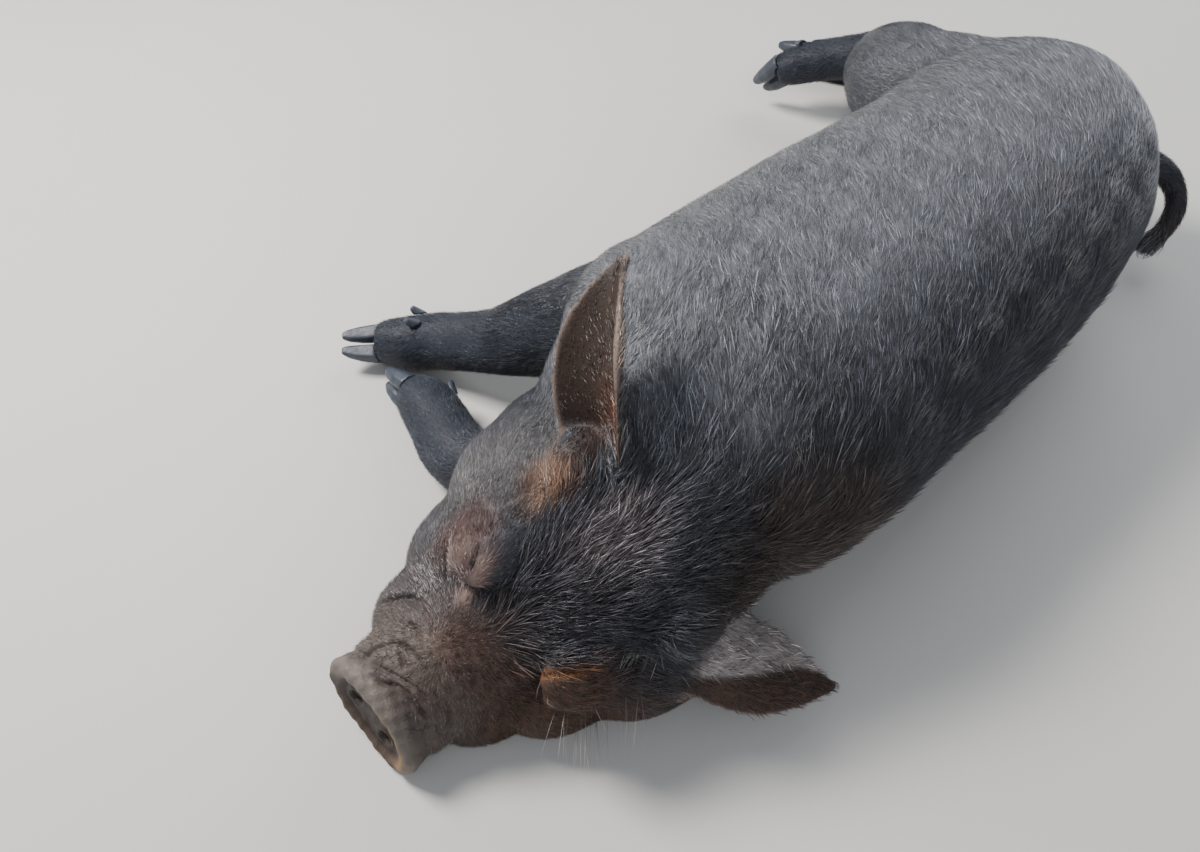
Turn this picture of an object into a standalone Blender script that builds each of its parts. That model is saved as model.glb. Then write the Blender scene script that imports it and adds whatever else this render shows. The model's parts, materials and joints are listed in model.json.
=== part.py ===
"""A kunekune pig asleep on its left side, as a life-size still model.

Metres, +Z up. While it is built, +X runs from head to tail and +Y from spine to belly, with the
floor at z = 0. At the end the whole is moved so that the origin is the middle of its outline on
the floor. The head is drawn in its own frame (x to the snout, y to the pig's left, z to the
crown) and then turned to its place.
"""
import math
import random
from typing import NamedTuple

import bmesh
import bpy
from mathutils import Matrix, Vector
from mathutils.bvhtree import BVHTree

COLLECTION_NAME = "kunekune_pig"
SEED = 7

# Gap between neighbouring parts, and how far a rooted piece goes in
GAP = 0.0003
LOCK_SINK = 0.0035

# Points closer than this become one after a cut or a union
MERGE = 0.000002

# Density of the flesh: cell of the remesh, triangles after thinning it all out, and after thinning
# the rest again away from the face
FLESH_CELL = 0.0032
FIRST_TRIANGLES = 11500
FLESH_TRIANGLES = 6800
HEAD_REACH = 0.13

# The head's place: yaw, pitch and roll in degrees, and the poll
HEAD_TURN = (170.6, 17.4, -33.7)
POLL = Vector((0.1283, -0.0233, 0.1209))

# Snout disc, in the head frame
DISC_CENTRE = Vector((0.165, 0.0, -0.056))
DISC_TILT = 30.0
DISC_WIDTH = 0.068
DISC_HEIGHT = 0.048
DISC_THICKNESS = 0.010
NOSTRIL_SPREAD = 0.0125
NOSTRIL_SIZE = (0.0042, 0.0062)
NOSTRIL_DEPTH = 0.012

# Eyes, nearly closed: a sliver of the eyeball between the lids
EYE = (0.0758, 0.0360, -0.0120)
EYE_OUTWARD = (0.30, 0.50, 0.80)
EYE_SLIT = (0.79, -0.50, -0.20)
EYE_SLIVER = (0.0080, 0.0012, 0.0050)
LID_BULGE = (0.0140, 0.0100, 0.0068)
LID_DROP = 0.0095

# Ears: greatest width, wall, rows from root to tip and columns across; then for each its root in the
# head frame, its middle, its tip, the way it opens and the angle that its root is rolled through
EAR_WIDTH = 0.061
EAR_WALL = 0.0030
EAR_GRID = (12, 9)
EARS = (
    ("ear_right", (-0.003, -0.0335, -0.0215), (0.1470, 0.0384, 0.180), (0.174, 0.052, 0.212),
     (-0.95, 0.106, 0.36), 2.5),
    ("ear_left", (0.018, 0.0505, -0.0225), (0.1552, -0.0861, 0.0373), (0.187, -0.106, 0.013),
     (0.25, 0.55, -0.80), 2.4),
)

# Hooves: each of the two claws of a foot, and the dewclaws above them
CLAW_LENGTH = 0.028
CLAW_WIDTH = 0.0135
CLAW_HEIGHT = 0.0165
CLAW_SPREAD = 0.0078
CLAW_SINK = 0.008
CLAW_TOE_IN = 0.0022
# How far along a claw, its width and height there, and how far it rises
CLAW_SHAPE = ((0.0, 1.0, 1.0, 0.0), (0.35, 1.0, 1.0, 0.02), (0.65, 0.90, 0.82, -0.06),
              (0.88, 0.68, 0.58, -0.18), (1.0, 0.38, 0.32, -0.28))
# The lowest part of a claw's round that is kept, which makes its flat sole
CLAW_SOLE = -0.72
DEWCLAW_LENGTH = 0.011
DEWCLAW_RADIUS = 0.0050
DEWCLAW_TAPER = 0.45
DEWCLAW_SETBACK = 0.030
DEWCLAW_SPREAD = 0.0085
DEWCLAW_BEHIND = 0.020
DEWCLAW_SINK = 0.003
# The way a dewclaw points: along the foot, back and to its own side
DEWCLAW_AIM = (0.66, 0.70, 0.20)

# Wattles at the throat: place under the jaw in the head frame, lie in the world; then their length,
# their thickness and how thick they are along it
WATTLES = (
    ("wattle_right", (0.040, -0.036), (0.05, 0.62, -0.78)),
    ("wattle_left", (0.046, 0.004), (-0.10, 0.99, -0.08)),
)
WATTLE_LENGTH = 0.028
WATTLE_RADIUS = 0.0060
WATTLE_SHAPE = ((-0.35, 0.75), (0.0, 0.72), (0.3, 0.70), (0.6, 0.95), (0.85, 0.85), (1.0, 0.30))

# Mouth: half of the line between the lips, from the front to the corner, and its depth
MOUTH_HALF = ((0.150, 0.0, -0.084), (0.142, 0.020, -0.084), (0.122, 0.046, -0.080),
              (0.100, 0.062, -0.072), (0.084, 0.068, -0.062))
MOUTH_DEPTH = 0.0028

# Locks on the crown, row by row in the head frame: place along the head, count, half width of the row.
# They fan out from a point on the nose bridge.
CROWN_ROWS = ((0.074, 3, 0.014), (0.058, 5, 0.024), (0.042, 5, 0.030), (0.026, 5, 0.027),
              (0.009, 5, 0.023), (-0.008, 5, 0.026))
CROWN_FAN = 0.110
# Locks along the spine: first and last root, and how many, on each node
RIDGES = (("neck", (0.178, -0.090, 0.098), (0.200, -0.100, 0.094), 4),
          ("torso", (0.240, -0.10, 0.092), (0.450, -0.10, 0.088), 14))
RIDGE_STAGGER = 0.007
TASSEL_LOCKS = 6
# The arc round the tail's tip that the tassel's locks start from, in degrees
TASSEL_ARC = (-30.0, 240.0)

# Locks of bristle: half width, half thickness at the root, how high the tip stands over the skin,
# and how wide the lock is along its length
LOCK_HALF_WIDTH = 0.0035
LOCK_HALF_THICKNESS = 0.0011
LOCK_LIFT = 0.0065
LOCK_CLEARANCE = 0.0009
LOCK_SHAPE = ((0.0, 0.75), (0.30, 1.0), (0.62, 0.80), (0.85, 0.45), (1.0, 0.0))
CROWN_LOCK_LENGTH = 0.028
RIDGE_LOCK_LENGTH = 0.027
TASSEL_LOCK_LENGTH = 0.022


class Ring(NamedTuple):
    """One section of a loft: its middle and its half sizes across and through."""

    x: float
    y: float
    z: float
    across: float
    through: float


class Cut(NamedTuple):
    """A part that is taken off the body: what lies past a point, outward, in a box of these sizes."""

    name: str
    source: str
    point: tuple
    outward: tuple
    up: tuple
    sizes: tuple


class Foot(NamedTuple):
    """A foot: where it ends, which way it points, and the way from one claw to the other."""

    name: str
    end: tuple
    forward: tuple
    side: tuple
    back: tuple


# Flesh, in the world frame. Across is towards the belly, through is upwards.
TRUNK = (
    Ring(0.158, 0.046, 0.084, 0.050, 0.046),
    Ring(0.172, 0.040, 0.086, 0.078, 0.066),
    Ring(0.196, 0.036, 0.088, 0.102, 0.080),
    Ring(0.237, 0.035, 0.089, 0.110, 0.088),
    Ring(0.300, 0.038, 0.088, 0.109, 0.090),
    Ring(0.380, 0.040, 0.088, 0.107, 0.091),
    Ring(0.450, 0.043, 0.088, 0.102, 0.091),
    Ring(0.510, 0.051, 0.088, 0.098, 0.090),
    Ring(0.552, 0.058, 0.087, 0.090, 0.084),
    Ring(0.584, 0.062, 0.083, 0.076, 0.073),
    Ring(0.606, 0.064, 0.079, 0.056, 0.055),
    Ring(0.620, 0.064, 0.076, 0.030, 0.032),
)
NECK = (
    Ring(0.128, 0.006, 0.078, 0.052, 0.050),
    Ring(0.150, 0.010, 0.082, 0.070, 0.064),
    Ring(0.176, 0.018, 0.086, 0.082, 0.074),
    Ring(0.206, 0.028, 0.088, 0.094, 0.082),
    Ring(0.240, 0.034, 0.088, 0.100, 0.084),
)
FRONT_LEG_RIGHT = (
    Ring(0.262, 0.080, 0.100, 0.034, 0.034),
    Ring(0.236, 0.118, 0.088, 0.036, 0.038),
    Ring(0.214, 0.152, 0.066, 0.031, 0.033),
    Ring(0.192, 0.184, 0.046, 0.024, 0.024),
    Ring(0.178, 0.211, 0.033, 0.0200, 0.0200),
    Ring(0.166, 0.232, 0.024, 0.0195, 0.0200),
    Ring(0.151, 0.249, 0.0195, 0.0185, 0.0190),
    Ring(0.139, 0.263, 0.0165, 0.0145, 0.0155),
)
FRONT_LEG_LEFT = (
    Ring(0.240, 0.080, 0.045, 0.034, 0.034),
    Ring(0.200, 0.098, 0.036, 0.032, 0.032),
    Ring(0.160, 0.104, 0.027, 0.026, 0.025),
    Ring(0.128, 0.122, 0.0225, 0.0225, 0.022),
    Ring(0.122, 0.148, 0.0215, 0.0215, 0.022),
    Ring(0.128, 0.176, 0.0195, 0.0205, 0.0205),
    Ring(0.131, 0.197, 0.0180, 0.0185, 0.0185),
    Ring(0.130, 0.211, 0.0155, 0.0140, 0.0150),
)
HIND_LEG_RIGHT = (
    Ring(0.555, 0.076, 0.104, 0.048, 0.048),
    Ring(0.546, 0.116, 0.106, 0.053, 0.046),
    Ring(0.546, 0.150, 0.103, 0.050, 0.042),
    Ring(0.568, 0.182, 0.096, 0.044, 0.034),
    Ring(0.598, 0.212, 0.082, 0.030, 0.026),
    Ring(0.612, 0.234, 0.070, 0.021, 0.020),
    Ring(0.602, 0.258, 0.060, 0.0175, 0.0175),
    Ring(0.588, 0.278, 0.052, 0.0175, 0.0175),
    Ring(0.577, 0.292, 0.045, 0.0160, 0.0160),
    Ring(0.570, 0.301, 0.040, 0.0130, 0.0130),
)
HIND_LEG_LEFT = (
    Ring(0.562, 0.080, 0.050, 0.046, 0.042),
    Ring(0.560, 0.128, 0.042, 0.046, 0.038),
    Ring(0.580, 0.172, 0.034, 0.040, 0.031),
    Ring(0.622, 0.208, 0.028, 0.030, 0.025),
    Ring(0.660, 0.236, 0.023, 0.022, 0.021),
    Ring(0.672, 0.258, 0.020, 0.0185, 0.019),
    Ring(0.664, 0.284, 0.0175, 0.0172, 0.0172),
    Ring(0.654, 0.306, 0.0160, 0.0172, 0.0168),
    Ring(0.646, 0.320, 0.0150, 0.0155, 0.0150),
    Ring(0.641, 0.329, 0.0145, 0.0125, 0.0125),
)
FEET = (
    Foot("front_right", (0.141, 0.261, 0.0170), (-0.78, 0.61, -0.08), (0.50, 0.64, 0.30), (0.05, 0.10, 0.95)),
    Foot("front_left", (0.130, 0.208, 0.0160), (-0.26, 0.96, -0.06), (0.25, 0.10, 0.96), (0.95, 0.25, 0.10)),
    Foot("hind_right", (0.571, 0.299, 0.0405), (-0.20, 0.58, -0.79), (-0.62, 0.50, 0.52), (0.80, 0.52, 0.10)),
    Foot("hind_left", (0.642, 0.328, 0.0150), (-0.48, 0.87, -0.04), (0.10, 0.05, 0.99), (0.86, 0.50, 0.05)),
)
# Masses laid over the lofts: middle and half sizes, in the world frame
SHOULDER = ((0.222, 0.066, 0.108), (0.060, 0.066, 0.068))
HAUNCH = ((0.545, 0.084, 0.104), (0.062, 0.068, 0.056))
BUTTOCK = ((0.574, 0.058, 0.081), (0.044, 0.062, 0.066))
THROAT = ((0.150, 0.074, 0.056), (0.050, 0.046, 0.050))
TAIL = (
    Ring(0.606, 0.030, 0.066, 0.0130, 0.0130),
    Ring(0.632, 0.020, 0.068, 0.0115, 0.0115),
    Ring(0.652, 0.011, 0.065, 0.0102, 0.0102),
    Ring(0.664, -0.002, 0.057, 0.0092, 0.0092),
    Ring(0.664, -0.015, 0.046, 0.0083, 0.0083),
    Ring(0.653, -0.023, 0.035, 0.0075, 0.0075),
    Ring(0.638, -0.024, 0.025, 0.0068, 0.0068),
    Ring(0.626, -0.021, 0.017, 0.0058, 0.0058),
)

# The thin cuts that part the tail and the body, in their order
TAIL_CUTS = (
    Cut("tail_curl", "tail_root", (0.664, -0.002, 0.057), (0.2, -0.75, -0.6), (0, 0, 1), (0.06, 0.10, 0.08)),
    Cut("tail_tip", "tail_curl", (0.650, -0.0235, 0.033), (-0.83, -0.10, -0.55), (0, 0, 1),
        (0.05, 0.05, 0.05)),
)
CUTS = (
    Cut("leg_front_left", "torso", (0.126, 0.143, 0.024), (-0.10, 0.99, 0.0), (0, 0, 1), (0.084, 0.084, 0.080)),
    Cut("leg_front_right", "torso", (0.210, 0.157, 0.063), (-0.49, 0.74, -0.47), (0, 0, 1), (0.20, 0.10, 0.10)),
    Cut("foot_front_right", "leg_front_right", (0.181, 0.206, 0.036), (-0.50, 0.82, -0.28), (0, 0, 1),
        (0.12, 0.09, 0.09)),
    Cut("thigh_right", "torso", (0.575, 0.150, 0.127), (0.0, 0.98, -0.20), (0, 0, 1), (0.22, 0.24, 0.12)),
    Cut("foot_hind_right", "thigh_right", (0.612, 0.232, 0.070), (-0.10, 0.92, -0.36), (0, 0, 1),
        (0.12, 0.09, 0.09)),
    Cut("thigh_left", "torso", (0.600, 0.150, 0.030), (0.0, 1.0, 0.0), (0, 0, 1), (0.26, 0.28, 0.12)),
    Cut("foot_hind_left", "thigh_left", (0.668, 0.246, 0.024), (0.10, 0.99, 0.0), (0, 0, 1),
        (0.12, 0.10, 0.09)),
    Cut("head", "torso", (0.147, 0.020, 0.080), (-0.982, -0.168, 0.086), (0, 0, 1), (0.24, 0.30, 0.30)),
    Cut("neck", "torso", (0.193, 0.020, 0.088), (-0.963, -0.268, 0.0), (0, 0, 1), (0.15, 0.34, 0.30)),
    Cut("rump", "torso", (0.505, 0.050, 0.088), (1.0, 0.05, 0.0), (0, 0, 1), (0.20, 0.34, 0.30)),
)

# Flesh of the head, in the head frame. Across is sideways, through is upwards.
SKULL = (
    Ring(-0.050, 0.0, -0.064, 0.058, 0.048),
    Ring(-0.022, 0.0, -0.058, 0.066, 0.057),
    Ring(0.010, 0.0, -0.054, 0.066, 0.056),
    Ring(0.040, 0.0, -0.056, 0.061, 0.052),
    Ring(0.066, 0.0, -0.060, 0.055, 0.046),
    Ring(0.092, 0.0, -0.062, 0.047, 0.038),
    Ring(0.116, 0.0, -0.063, 0.041, 0.032),
    Ring(0.140, 0.0, -0.060, 0.036, 0.026),
    Ring(0.160, 0.0, -0.057, 0.033, 0.023),
)
JAW = (
    Ring(0.000, 0.0, -0.088, 0.056, 0.034),
    Ring(0.040, 0.0, -0.088, 0.050, 0.026),
    Ring(0.075, 0.0, -0.085, 0.041, 0.020),
    Ring(0.105, 0.0, -0.081, 0.033, 0.0155),
    Ring(0.130, 0.0, -0.078, 0.024, 0.0125),
    Ring(0.146, 0.0, -0.077, 0.014, 0.0090),
)
JOWL = ((0.030, 0.049, -0.068), (0.052, 0.040, 0.047))
CHEEK = ((0.076, 0.040, -0.066), (0.040, 0.030, 0.034))
CHEEKBONE = ((0.056, 0.042, -0.040), (0.034, 0.020, 0.022))
BROW = ((0.064, 0.032, -0.016), (0.024, 0.014, 0.009))
EAR_MOUND = ((0.008, 0.045, -0.020), (0.022, 0.017, 0.016))
LIP_PAD = ((0.112, 0.032, -0.069), (0.034, 0.020, 0.019))
NOSE_BRIDGE = ((0.112, 0.0, -0.037), (0.028, 0.022, 0.008))


def clear_scene():
    """Remove whatever the file holds."""
    for obj in list(bpy.data.objects):
        bpy.data.objects.remove(obj)


def collection(name):
    """A collection of the scene by this name."""
    group = bpy.data.collections.new(name)
    bpy.context.scene.collection.children.link(group)
    return group


def material(name, colour, roughness):
    """A Principled material of one colour."""
    mat = bpy.data.materials.new(name)
    mat.use_nodes = True
    shader = mat.node_tree.nodes["Principled BSDF"]
    shader.inputs["Base Color"].default_value = (*colour, 1.0)
    shader.inputs["Roughness"].default_value = roughness
    shader.inputs["Metallic"].default_value = 0.0
    return mat


def object_from(name, bm, group):
    """A new object holding the given bmesh, which is freed."""
    bmesh.ops.recalc_face_normals(bm, faces=bm.faces)
    mesh = bpy.data.meshes.new(name)
    bm.to_mesh(mesh)
    bm.free()
    obj = bpy.data.objects.new(name, mesh)
    group.objects.link(obj)
    return obj


def apply_modifiers(obj):
    """Put the evaluated mesh in the object's place and drop its modifiers."""
    graph = bpy.context.evaluated_depsgraph_get()
    mesh = bpy.data.meshes.new_from_object(obj.evaluated_get(graph))
    obj.modifiers.clear()
    old = obj.data
    obj.data = mesh
    bpy.data.meshes.remove(old)


def remove(obj):
    """Delete an object and its mesh."""
    mesh = obj.data
    bpy.data.objects.remove(obj)
    bpy.data.meshes.remove(mesh)


def spline_value(before, start, end, after, t):
    """A Catmull-Rom value between start and end."""
    slope_in = (end - before) / 2
    slope_out = (after - start) / 2
    blend = (2 * t ** 3 - 3 * t ** 2 + 1, t ** 3 - 2 * t ** 2 + t, -2 * t ** 3 + 3 * t ** 2, t ** 3 - t ** 2)
    return blend[0] * start + blend[1] * slope_in + blend[2] * end + blend[3] * slope_out


def smooth_rings(rings, steps):
    """More rings along a smooth curve through the given ones."""
    result = []
    last = len(rings) - 1
    for index in range(last):
        around = [rings[max(index - 1, 0)], rings[index], rings[index + 1], rings[min(index + 2, last)]]
        for step in range(steps):
            values = [spline_value(*column, step / steps) for column in zip(*around)]
            result.append(Ring(*values))
    result.append(rings[last])
    return result


def loft(bm, rings, side, sides=20, steps=4, frame=Matrix()):
    """Add a closed tube through the rings, whose across size lies along side."""
    rings = smooth_rings(rings, steps)
    centres = [Vector(ring[:3]) for ring in rings]
    loops = []
    for index, ring in enumerate(rings):
        along = centres[min(index + 1, len(rings) - 1)] - centres[max(index - 1, 0)]
        along.normalize()
        across = (Vector(side) - along * along.dot(Vector(side))).normalized()
        through = along.cross(across)
        loop = []
        for corner in range(sides):
            angle = 2 * math.pi * corner / sides
            point = centres[index] + across * ring.across * math.cos(angle)
            point += through * ring.through * math.sin(angle)
            loop.append(bm.verts.new(frame @ point))
        loops.append(loop)
    for first, second in zip(loops, loops[1:]):
        for corner in range(sides):
            after = (corner + 1) % sides
            bm.faces.new((first[corner], first[after], second[after], second[corner]))
    bm.faces.new(reversed(loops[0]))
    bm.faces.new(loops[-1])


def ellipsoid(bm, middle, half_sizes, frame=Matrix(), segments=24):
    """Add an ellipsoid."""
    place = frame @ Matrix.Translation(middle) @ Matrix.Diagonal((*half_sizes, 1.0))
    bmesh.ops.create_uvsphere(bm, u_segments=segments, v_segments=segments // 2, radius=1.0, matrix=place)


def head_frame():
    """The matrix that takes the head frame to the world."""
    yaw, pitch, roll = (math.radians(angle) for angle in HEAD_TURN)
    turn = Matrix.Rotation(yaw, 4, "Z") @ Matrix.Rotation(pitch, 4, "Y") @ Matrix.Rotation(roll, 4, "X")
    return Matrix.Translation(POLL) @ turn


def both_sides(bm, mass, frame):
    """Add an ellipsoid on each side of the head."""
    (along, out, up), half_sizes = mass
    for sign in (1, -1):
        ellipsoid(bm, (along, sign * out, up), half_sizes, frame)


def disc_frame():
    """The snout disc's frame: x out of its face, y to the pig's left, z up its face."""
    tilt = Matrix.Rotation(-math.radians(DISC_TILT), 4, "Y")
    return head_frame() @ Matrix.Translation(DISC_CENTRE) @ tilt


def eye_frame(sign):
    """An eye's frame: x forward along its slit, z out of the head. sign is 1 for the left eye."""
    outward = Vector(EYE_OUTWARD)
    slit = Vector(EYE_SLIT)
    outward.y *= sign
    slit.y *= sign
    outward.normalize()
    slit = (slit - outward * outward.dot(slit)).normalized()
    axes = Matrix((slit, outward.cross(slit), outward)).transposed().to_4x4()
    place = Matrix.Translation((EYE[0], sign * EYE[1], EYE[2]))
    return head_frame() @ place @ axes


def add_trunk(bm):
    """Add the trunk, its masses and the neck."""
    belly = (0, 1, 0)
    loft(bm, TRUNK, belly, sides=32)
    loft(bm, NECK, belly, sides=32)
    for mass in (SHOULDER, HAUNCH, BUTTOCK, THROAT):
        ellipsoid(bm, *mass)


def add_legs(bm):
    """Add the four legs."""
    for rings in (FRONT_LEG_RIGHT, FRONT_LEG_LEFT, HIND_LEG_RIGHT, HIND_LEG_LEFT):
        loft(bm, rings, (1, 0, 0), sides=20)


def add_head(bm):
    """Add the head's masses, in place."""
    frame = head_frame()
    sideways = (0, 1, 0)
    loft(bm, SKULL, sideways, sides=28, frame=frame)
    loft(bm, JAW, sideways, sides=20, frame=frame)
    for mass in (JOWL, CHEEK, CHEEKBONE, BROW, EAR_MOUND, LIP_PAD):
        both_sides(bm, mass, frame)
    ellipsoid(bm, *NOSE_BRIDGE, frame)
    for sign in (1, -1):
        ellipsoid(bm, (0.001, sign * LID_DROP, -0.004), LID_BULGE, eye_frame(sign))
    rim = Matrix.Diagonal((DISC_THICKNESS / 2, DISC_WIDTH / 2, DISC_HEIGHT / 2, 1.0))
    bmesh.ops.create_cone(bm, cap_ends=True, segments=32, radius1=1.0, radius2=1.0, depth=2.0,
                          matrix=disc_frame() @ rim @ Matrix.Rotation(math.pi / 2, 4, "Y"))


def triangle_count(obj):
    """How many triangles the object's faces make."""
    return sum(len(face.vertices) - 2 for face in obj.data.polygons)


def thin_out(obj, triangles, group=""):
    """Thin the mesh out to about this many triangles, within one vertex group if it is named."""
    thin = obj.modifiers.new("thin", "DECIMATE")
    thin.ratio = triangles / triangle_count(obj)
    thin.vertex_group = group
    apply_modifiers(obj)


def mark_far_flesh(obj):
    """A vertex group of all the flesh that isn't near the face."""
    middle = head_frame() @ Vector((0.08, 0.0, -0.05))
    far = obj.vertex_groups.new(name="far")
    indices = [vert.index for vert in obj.data.vertices if (vert.co - middle).length > HEAD_REACH]
    far.add(indices, 1.0, "REPLACE")


def flesh(name, group):
    """The whole body as one closed skin, smoothed, and thinned out away from the face."""
    bm = bmesh.new()
    for filler in (add_trunk, add_legs, add_head):
        filler(bm)
    obj = object_from(name, bm, group)
    remesh = obj.modifiers.new("skin", "REMESH")
    remesh.mode = "VOXEL"
    remesh.voxel_size = FLESH_CELL
    smooth = obj.modifiers.new("soften", "SMOOTH")
    smooth.factor = 0.5
    smooth.iterations = 5
    apply_modifiers(obj)
    thin_out(obj, FIRST_TRIANGLES)
    mark_far_flesh(obj)
    thin_out(obj, FLESH_TRIANGLES, "far")
    obj.vertex_groups.clear()
    return obj


def boolean(obj, operation, operand, solver="EXACT"):
    """Join, cut or meet an object with another, or with a collection, and apply it."""
    change = obj.modifiers.new("change", "BOOLEAN")
    change.operation = operation
    change.solver = solver
    if isinstance(operand, bpy.types.Collection):
        change.operand_type = "COLLECTION"
        change.collection = operand
    else:
        change.object = operand
    apply_modifiers(obj)


def keep_largest(obj):
    """Keep only the closed surface with the most faces."""
    bm = bmesh.new()
    bm.from_mesh(obj.data)
    bmesh.ops.remove_doubles(bm, verts=bm.verts, dist=MERGE)
    left = set(bm.verts)
    shells = []
    while left:
        shell = {left.pop()}
        edge_of = list(shell)
        while edge_of:
            vert = edge_of.pop()
            for edge in vert.link_edges:
                other = edge.other_vert(vert)
                if other in left:
                    left.discard(other)
                    shell.add(other)
                    edge_of.append(other)
        shells.append(shell)
    shells.sort(key=len)
    loose = [vert for shell in shells[:-1] for vert in shell]
    bmesh.ops.delete(bm, geom=loose, context="VERTS")
    bm.to_mesh(obj.data)
    bm.free()


def copy_of(obj, name, group, grow=0.0):
    """A copy of an object, moved out along its normals by grow."""
    bm = bmesh.new()
    bm.from_mesh(obj.data)
    bm.normal_update()
    moves = [(vert, vert.normal * grow) for vert in bm.verts]
    for vert, move in moves:
        vert.co += move
    return object_from(name, bm, group)


def block(name, point, outward, up, sizes, group, back=0.0):
    """A box whose near face is at point, set back by back, and which reaches out along outward.

    sizes are its depth along outward, its width and its height.
    """
    out = Vector(outward).normalized()
    rise = (Vector(up) - out * out.dot(Vector(up))).normalized()
    across = rise.cross(out)
    depth, width, height = (size + 2 * back for size in sizes)
    axes = Matrix((out, across, rise)).transposed().to_4x4()
    middle = Vector(point) + out * (depth / 2 - back)
    bm = bmesh.new()
    bmesh.ops.create_cube(bm, size=1.0, matrix=Matrix.Translation(middle) @ axes @
                          Matrix.Diagonal((depth, width, height, 1.0)))
    return object_from(name, bm, group)


def part_off(body, name, group, cutters, **box):
    """Take from body what lies in a box, as a new object, and leave a thin gap."""
    piece = copy_of(body, name, group)
    inner = block("inner", group=cutters, **box)
    outer = block("outer", group=cutters, back=GAP, **box)
    boolean(piece, "INTERSECT", inner)
    boolean(body, "DIFFERENCE", outer)
    for obj in (piece, body):
        keep_largest(obj)
    remove(inner)
    remove(outer)
    return piece


def trim(obj, neighbour, cutters):
    """Cut an object back to the neighbour's surface, with a thin gap."""
    cutter = copy_of(neighbour, "trimmer", cutters, grow=GAP)
    boolean(obj, "DIFFERENCE", cutter)
    keep_largest(obj)
    remove(cutter)


def flatten_below(obj, cutters):
    """Cut off what lies under the floor, so that the piece rests on flats."""
    ground = block("ground", (0.3, 0.0, 0.0), (0, 0, -1), (1, 0, 0), (0.2, 2.0, 2.0), cutters)
    boolean(obj, "DIFFERENCE", ground)
    keep_largest(obj)
    remove(ground)


def bezier(points, t):
    """A point of a quadratic Bezier curve."""
    first, middle, last = points
    return first * (1 - t) ** 2 + middle * 2 * t * (1 - t) + last * t ** 2


def ear_half_width(t):
    """Half width of the ear at t from root to tip: full low down, then a long taper to a blunt point."""
    return EAR_WIDTH / 2 * (0.08 + 0.92 * math.sin(math.pi * (0.30 + 0.70 * t)) ** 1.3)


def ear(name, root, middle, tip, opening, roll, group):
    """A cupped ear on an axis through middle, open towards opening, rolled at its root by roll."""
    rows, columns = EAR_GRID
    root, middle, tip = head_frame() @ Vector(root), Vector(middle), Vector(tip)
    axis = (root, 2 * middle - (root + tip) / 2, tip)
    bm = bmesh.new()
    grid = []
    for row in range(rows):
        t = row / (rows - 1)
        centre = bezier(axis, t)
        along = (bezier(axis, min(t + 0.05, 1.0)) - bezier(axis, max(t - 0.05, 0.0))).normalized()
        front = (Vector(opening) - along * along.dot(Vector(opening))).normalized()
        side = along.cross(front)
        turn = roll * (1 - t) ** 1.2 + t
        radius = 2 * ear_half_width(t) / turn
        line = []
        for column in range(columns):
            angle = turn * (column / (columns - 1) - 0.5)
            point = centre + side * radius * math.sin(angle) + front * radius * (1 - math.cos(angle))
            line.append(bm.verts.new(point))
        grid.append(line)
    for lower, upper in zip(grid, grid[1:]):
        for column in range(columns - 1):
            bm.faces.new((lower[column], lower[column + 1], upper[column + 1], upper[column]))
    obj = object_from(name, bm, group)
    wall = obj.modifiers.new("wall", "SOLIDIFY")
    wall.thickness = EAR_WALL
    wall.offset = 0.0
    apply_modifiers(obj)
    return obj


def claw(name, foot, sign, group):
    """One claw of a foot: a blunt pointed hoof, flat below, from inside the foot's end."""
    forward = Vector(foot.forward).normalized()
    side = (Vector(foot.side) - forward * forward.dot(Vector(foot.side))).normalized()
    upward = side.cross(forward) * (1 if side.cross(forward).dot(Vector(foot.back)) < 0 else -1)
    start = Vector(foot.end) + side * sign * CLAW_SPREAD - forward * CLAW_SINK
    reach = CLAW_LENGTH + CLAW_SINK
    bm = bmesh.new()
    loops = []
    sides = 8
    for along, wide, high, rise in CLAW_SHAPE:
        centre = start + forward * reach * along + upward * CLAW_HEIGHT * rise
        centre -= side * sign * CLAW_TOE_IN * along ** 2
        loop = []
        for corner in range(sides):
            angle = 2 * math.pi * corner / sides
            lift = max(math.sin(angle), CLAW_SOLE)
            point = centre + side * CLAW_WIDTH / 2 * wide * math.cos(angle)
            point += upward * CLAW_HEIGHT / 2 * high * lift
            loop.append(bm.verts.new(point))
        loops.append(loop)
    for first, second in zip(loops, loops[1:]):
        for corner in range(sides):
            after = (corner + 1) % sides
            bm.faces.new((first[corner], first[after], second[after], second[corner]))
    bm.faces.new(loops[0])
    bm.faces.new(loops[-1])
    return object_from(name, bm, group)


def dewclaw(name, foot, sign, home, group):
    """A small blunt cone on the skin of its home at the back of the foot, above the claws."""
    forward = Vector(foot.forward).normalized()
    side = (Vector(foot.side) - forward * forward.dot(Vector(foot.side))).normalized()
    back = (Vector(foot.back) - forward * forward.dot(Vector(foot.back))).normalized()
    start = Vector(foot.end) - forward * DEWCLAW_SETBACK + back * DEWCLAW_BEHIND
    start += side * sign * DEWCLAW_SPREAD
    root = surface_tree(home).find_nearest(start)[0] - back * DEWCLAW_SINK
    along, behind, aside = DEWCLAW_AIM
    aim = (forward * along + back * behind + side * sign * aside).normalized()
    bm = bmesh.new()
    place = Matrix.Translation(root + aim * DEWCLAW_LENGTH / 2) @ aim.to_track_quat("Z", "Y").to_matrix().to_4x4()
    bmesh.ops.create_cone(bm, cap_ends=True, segments=8, radius1=DEWCLAW_RADIUS,
                          radius2=DEWCLAW_RADIUS * DEWCLAW_TAPER, depth=DEWCLAW_LENGTH, matrix=place)
    return object_from(name, bm, group)


def surface_tree(obj):
    """A search tree of the object's surface."""
    graph = bpy.context.evaluated_depsgraph_get()
    return BVHTree.FromObject(obj, graph)


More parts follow.
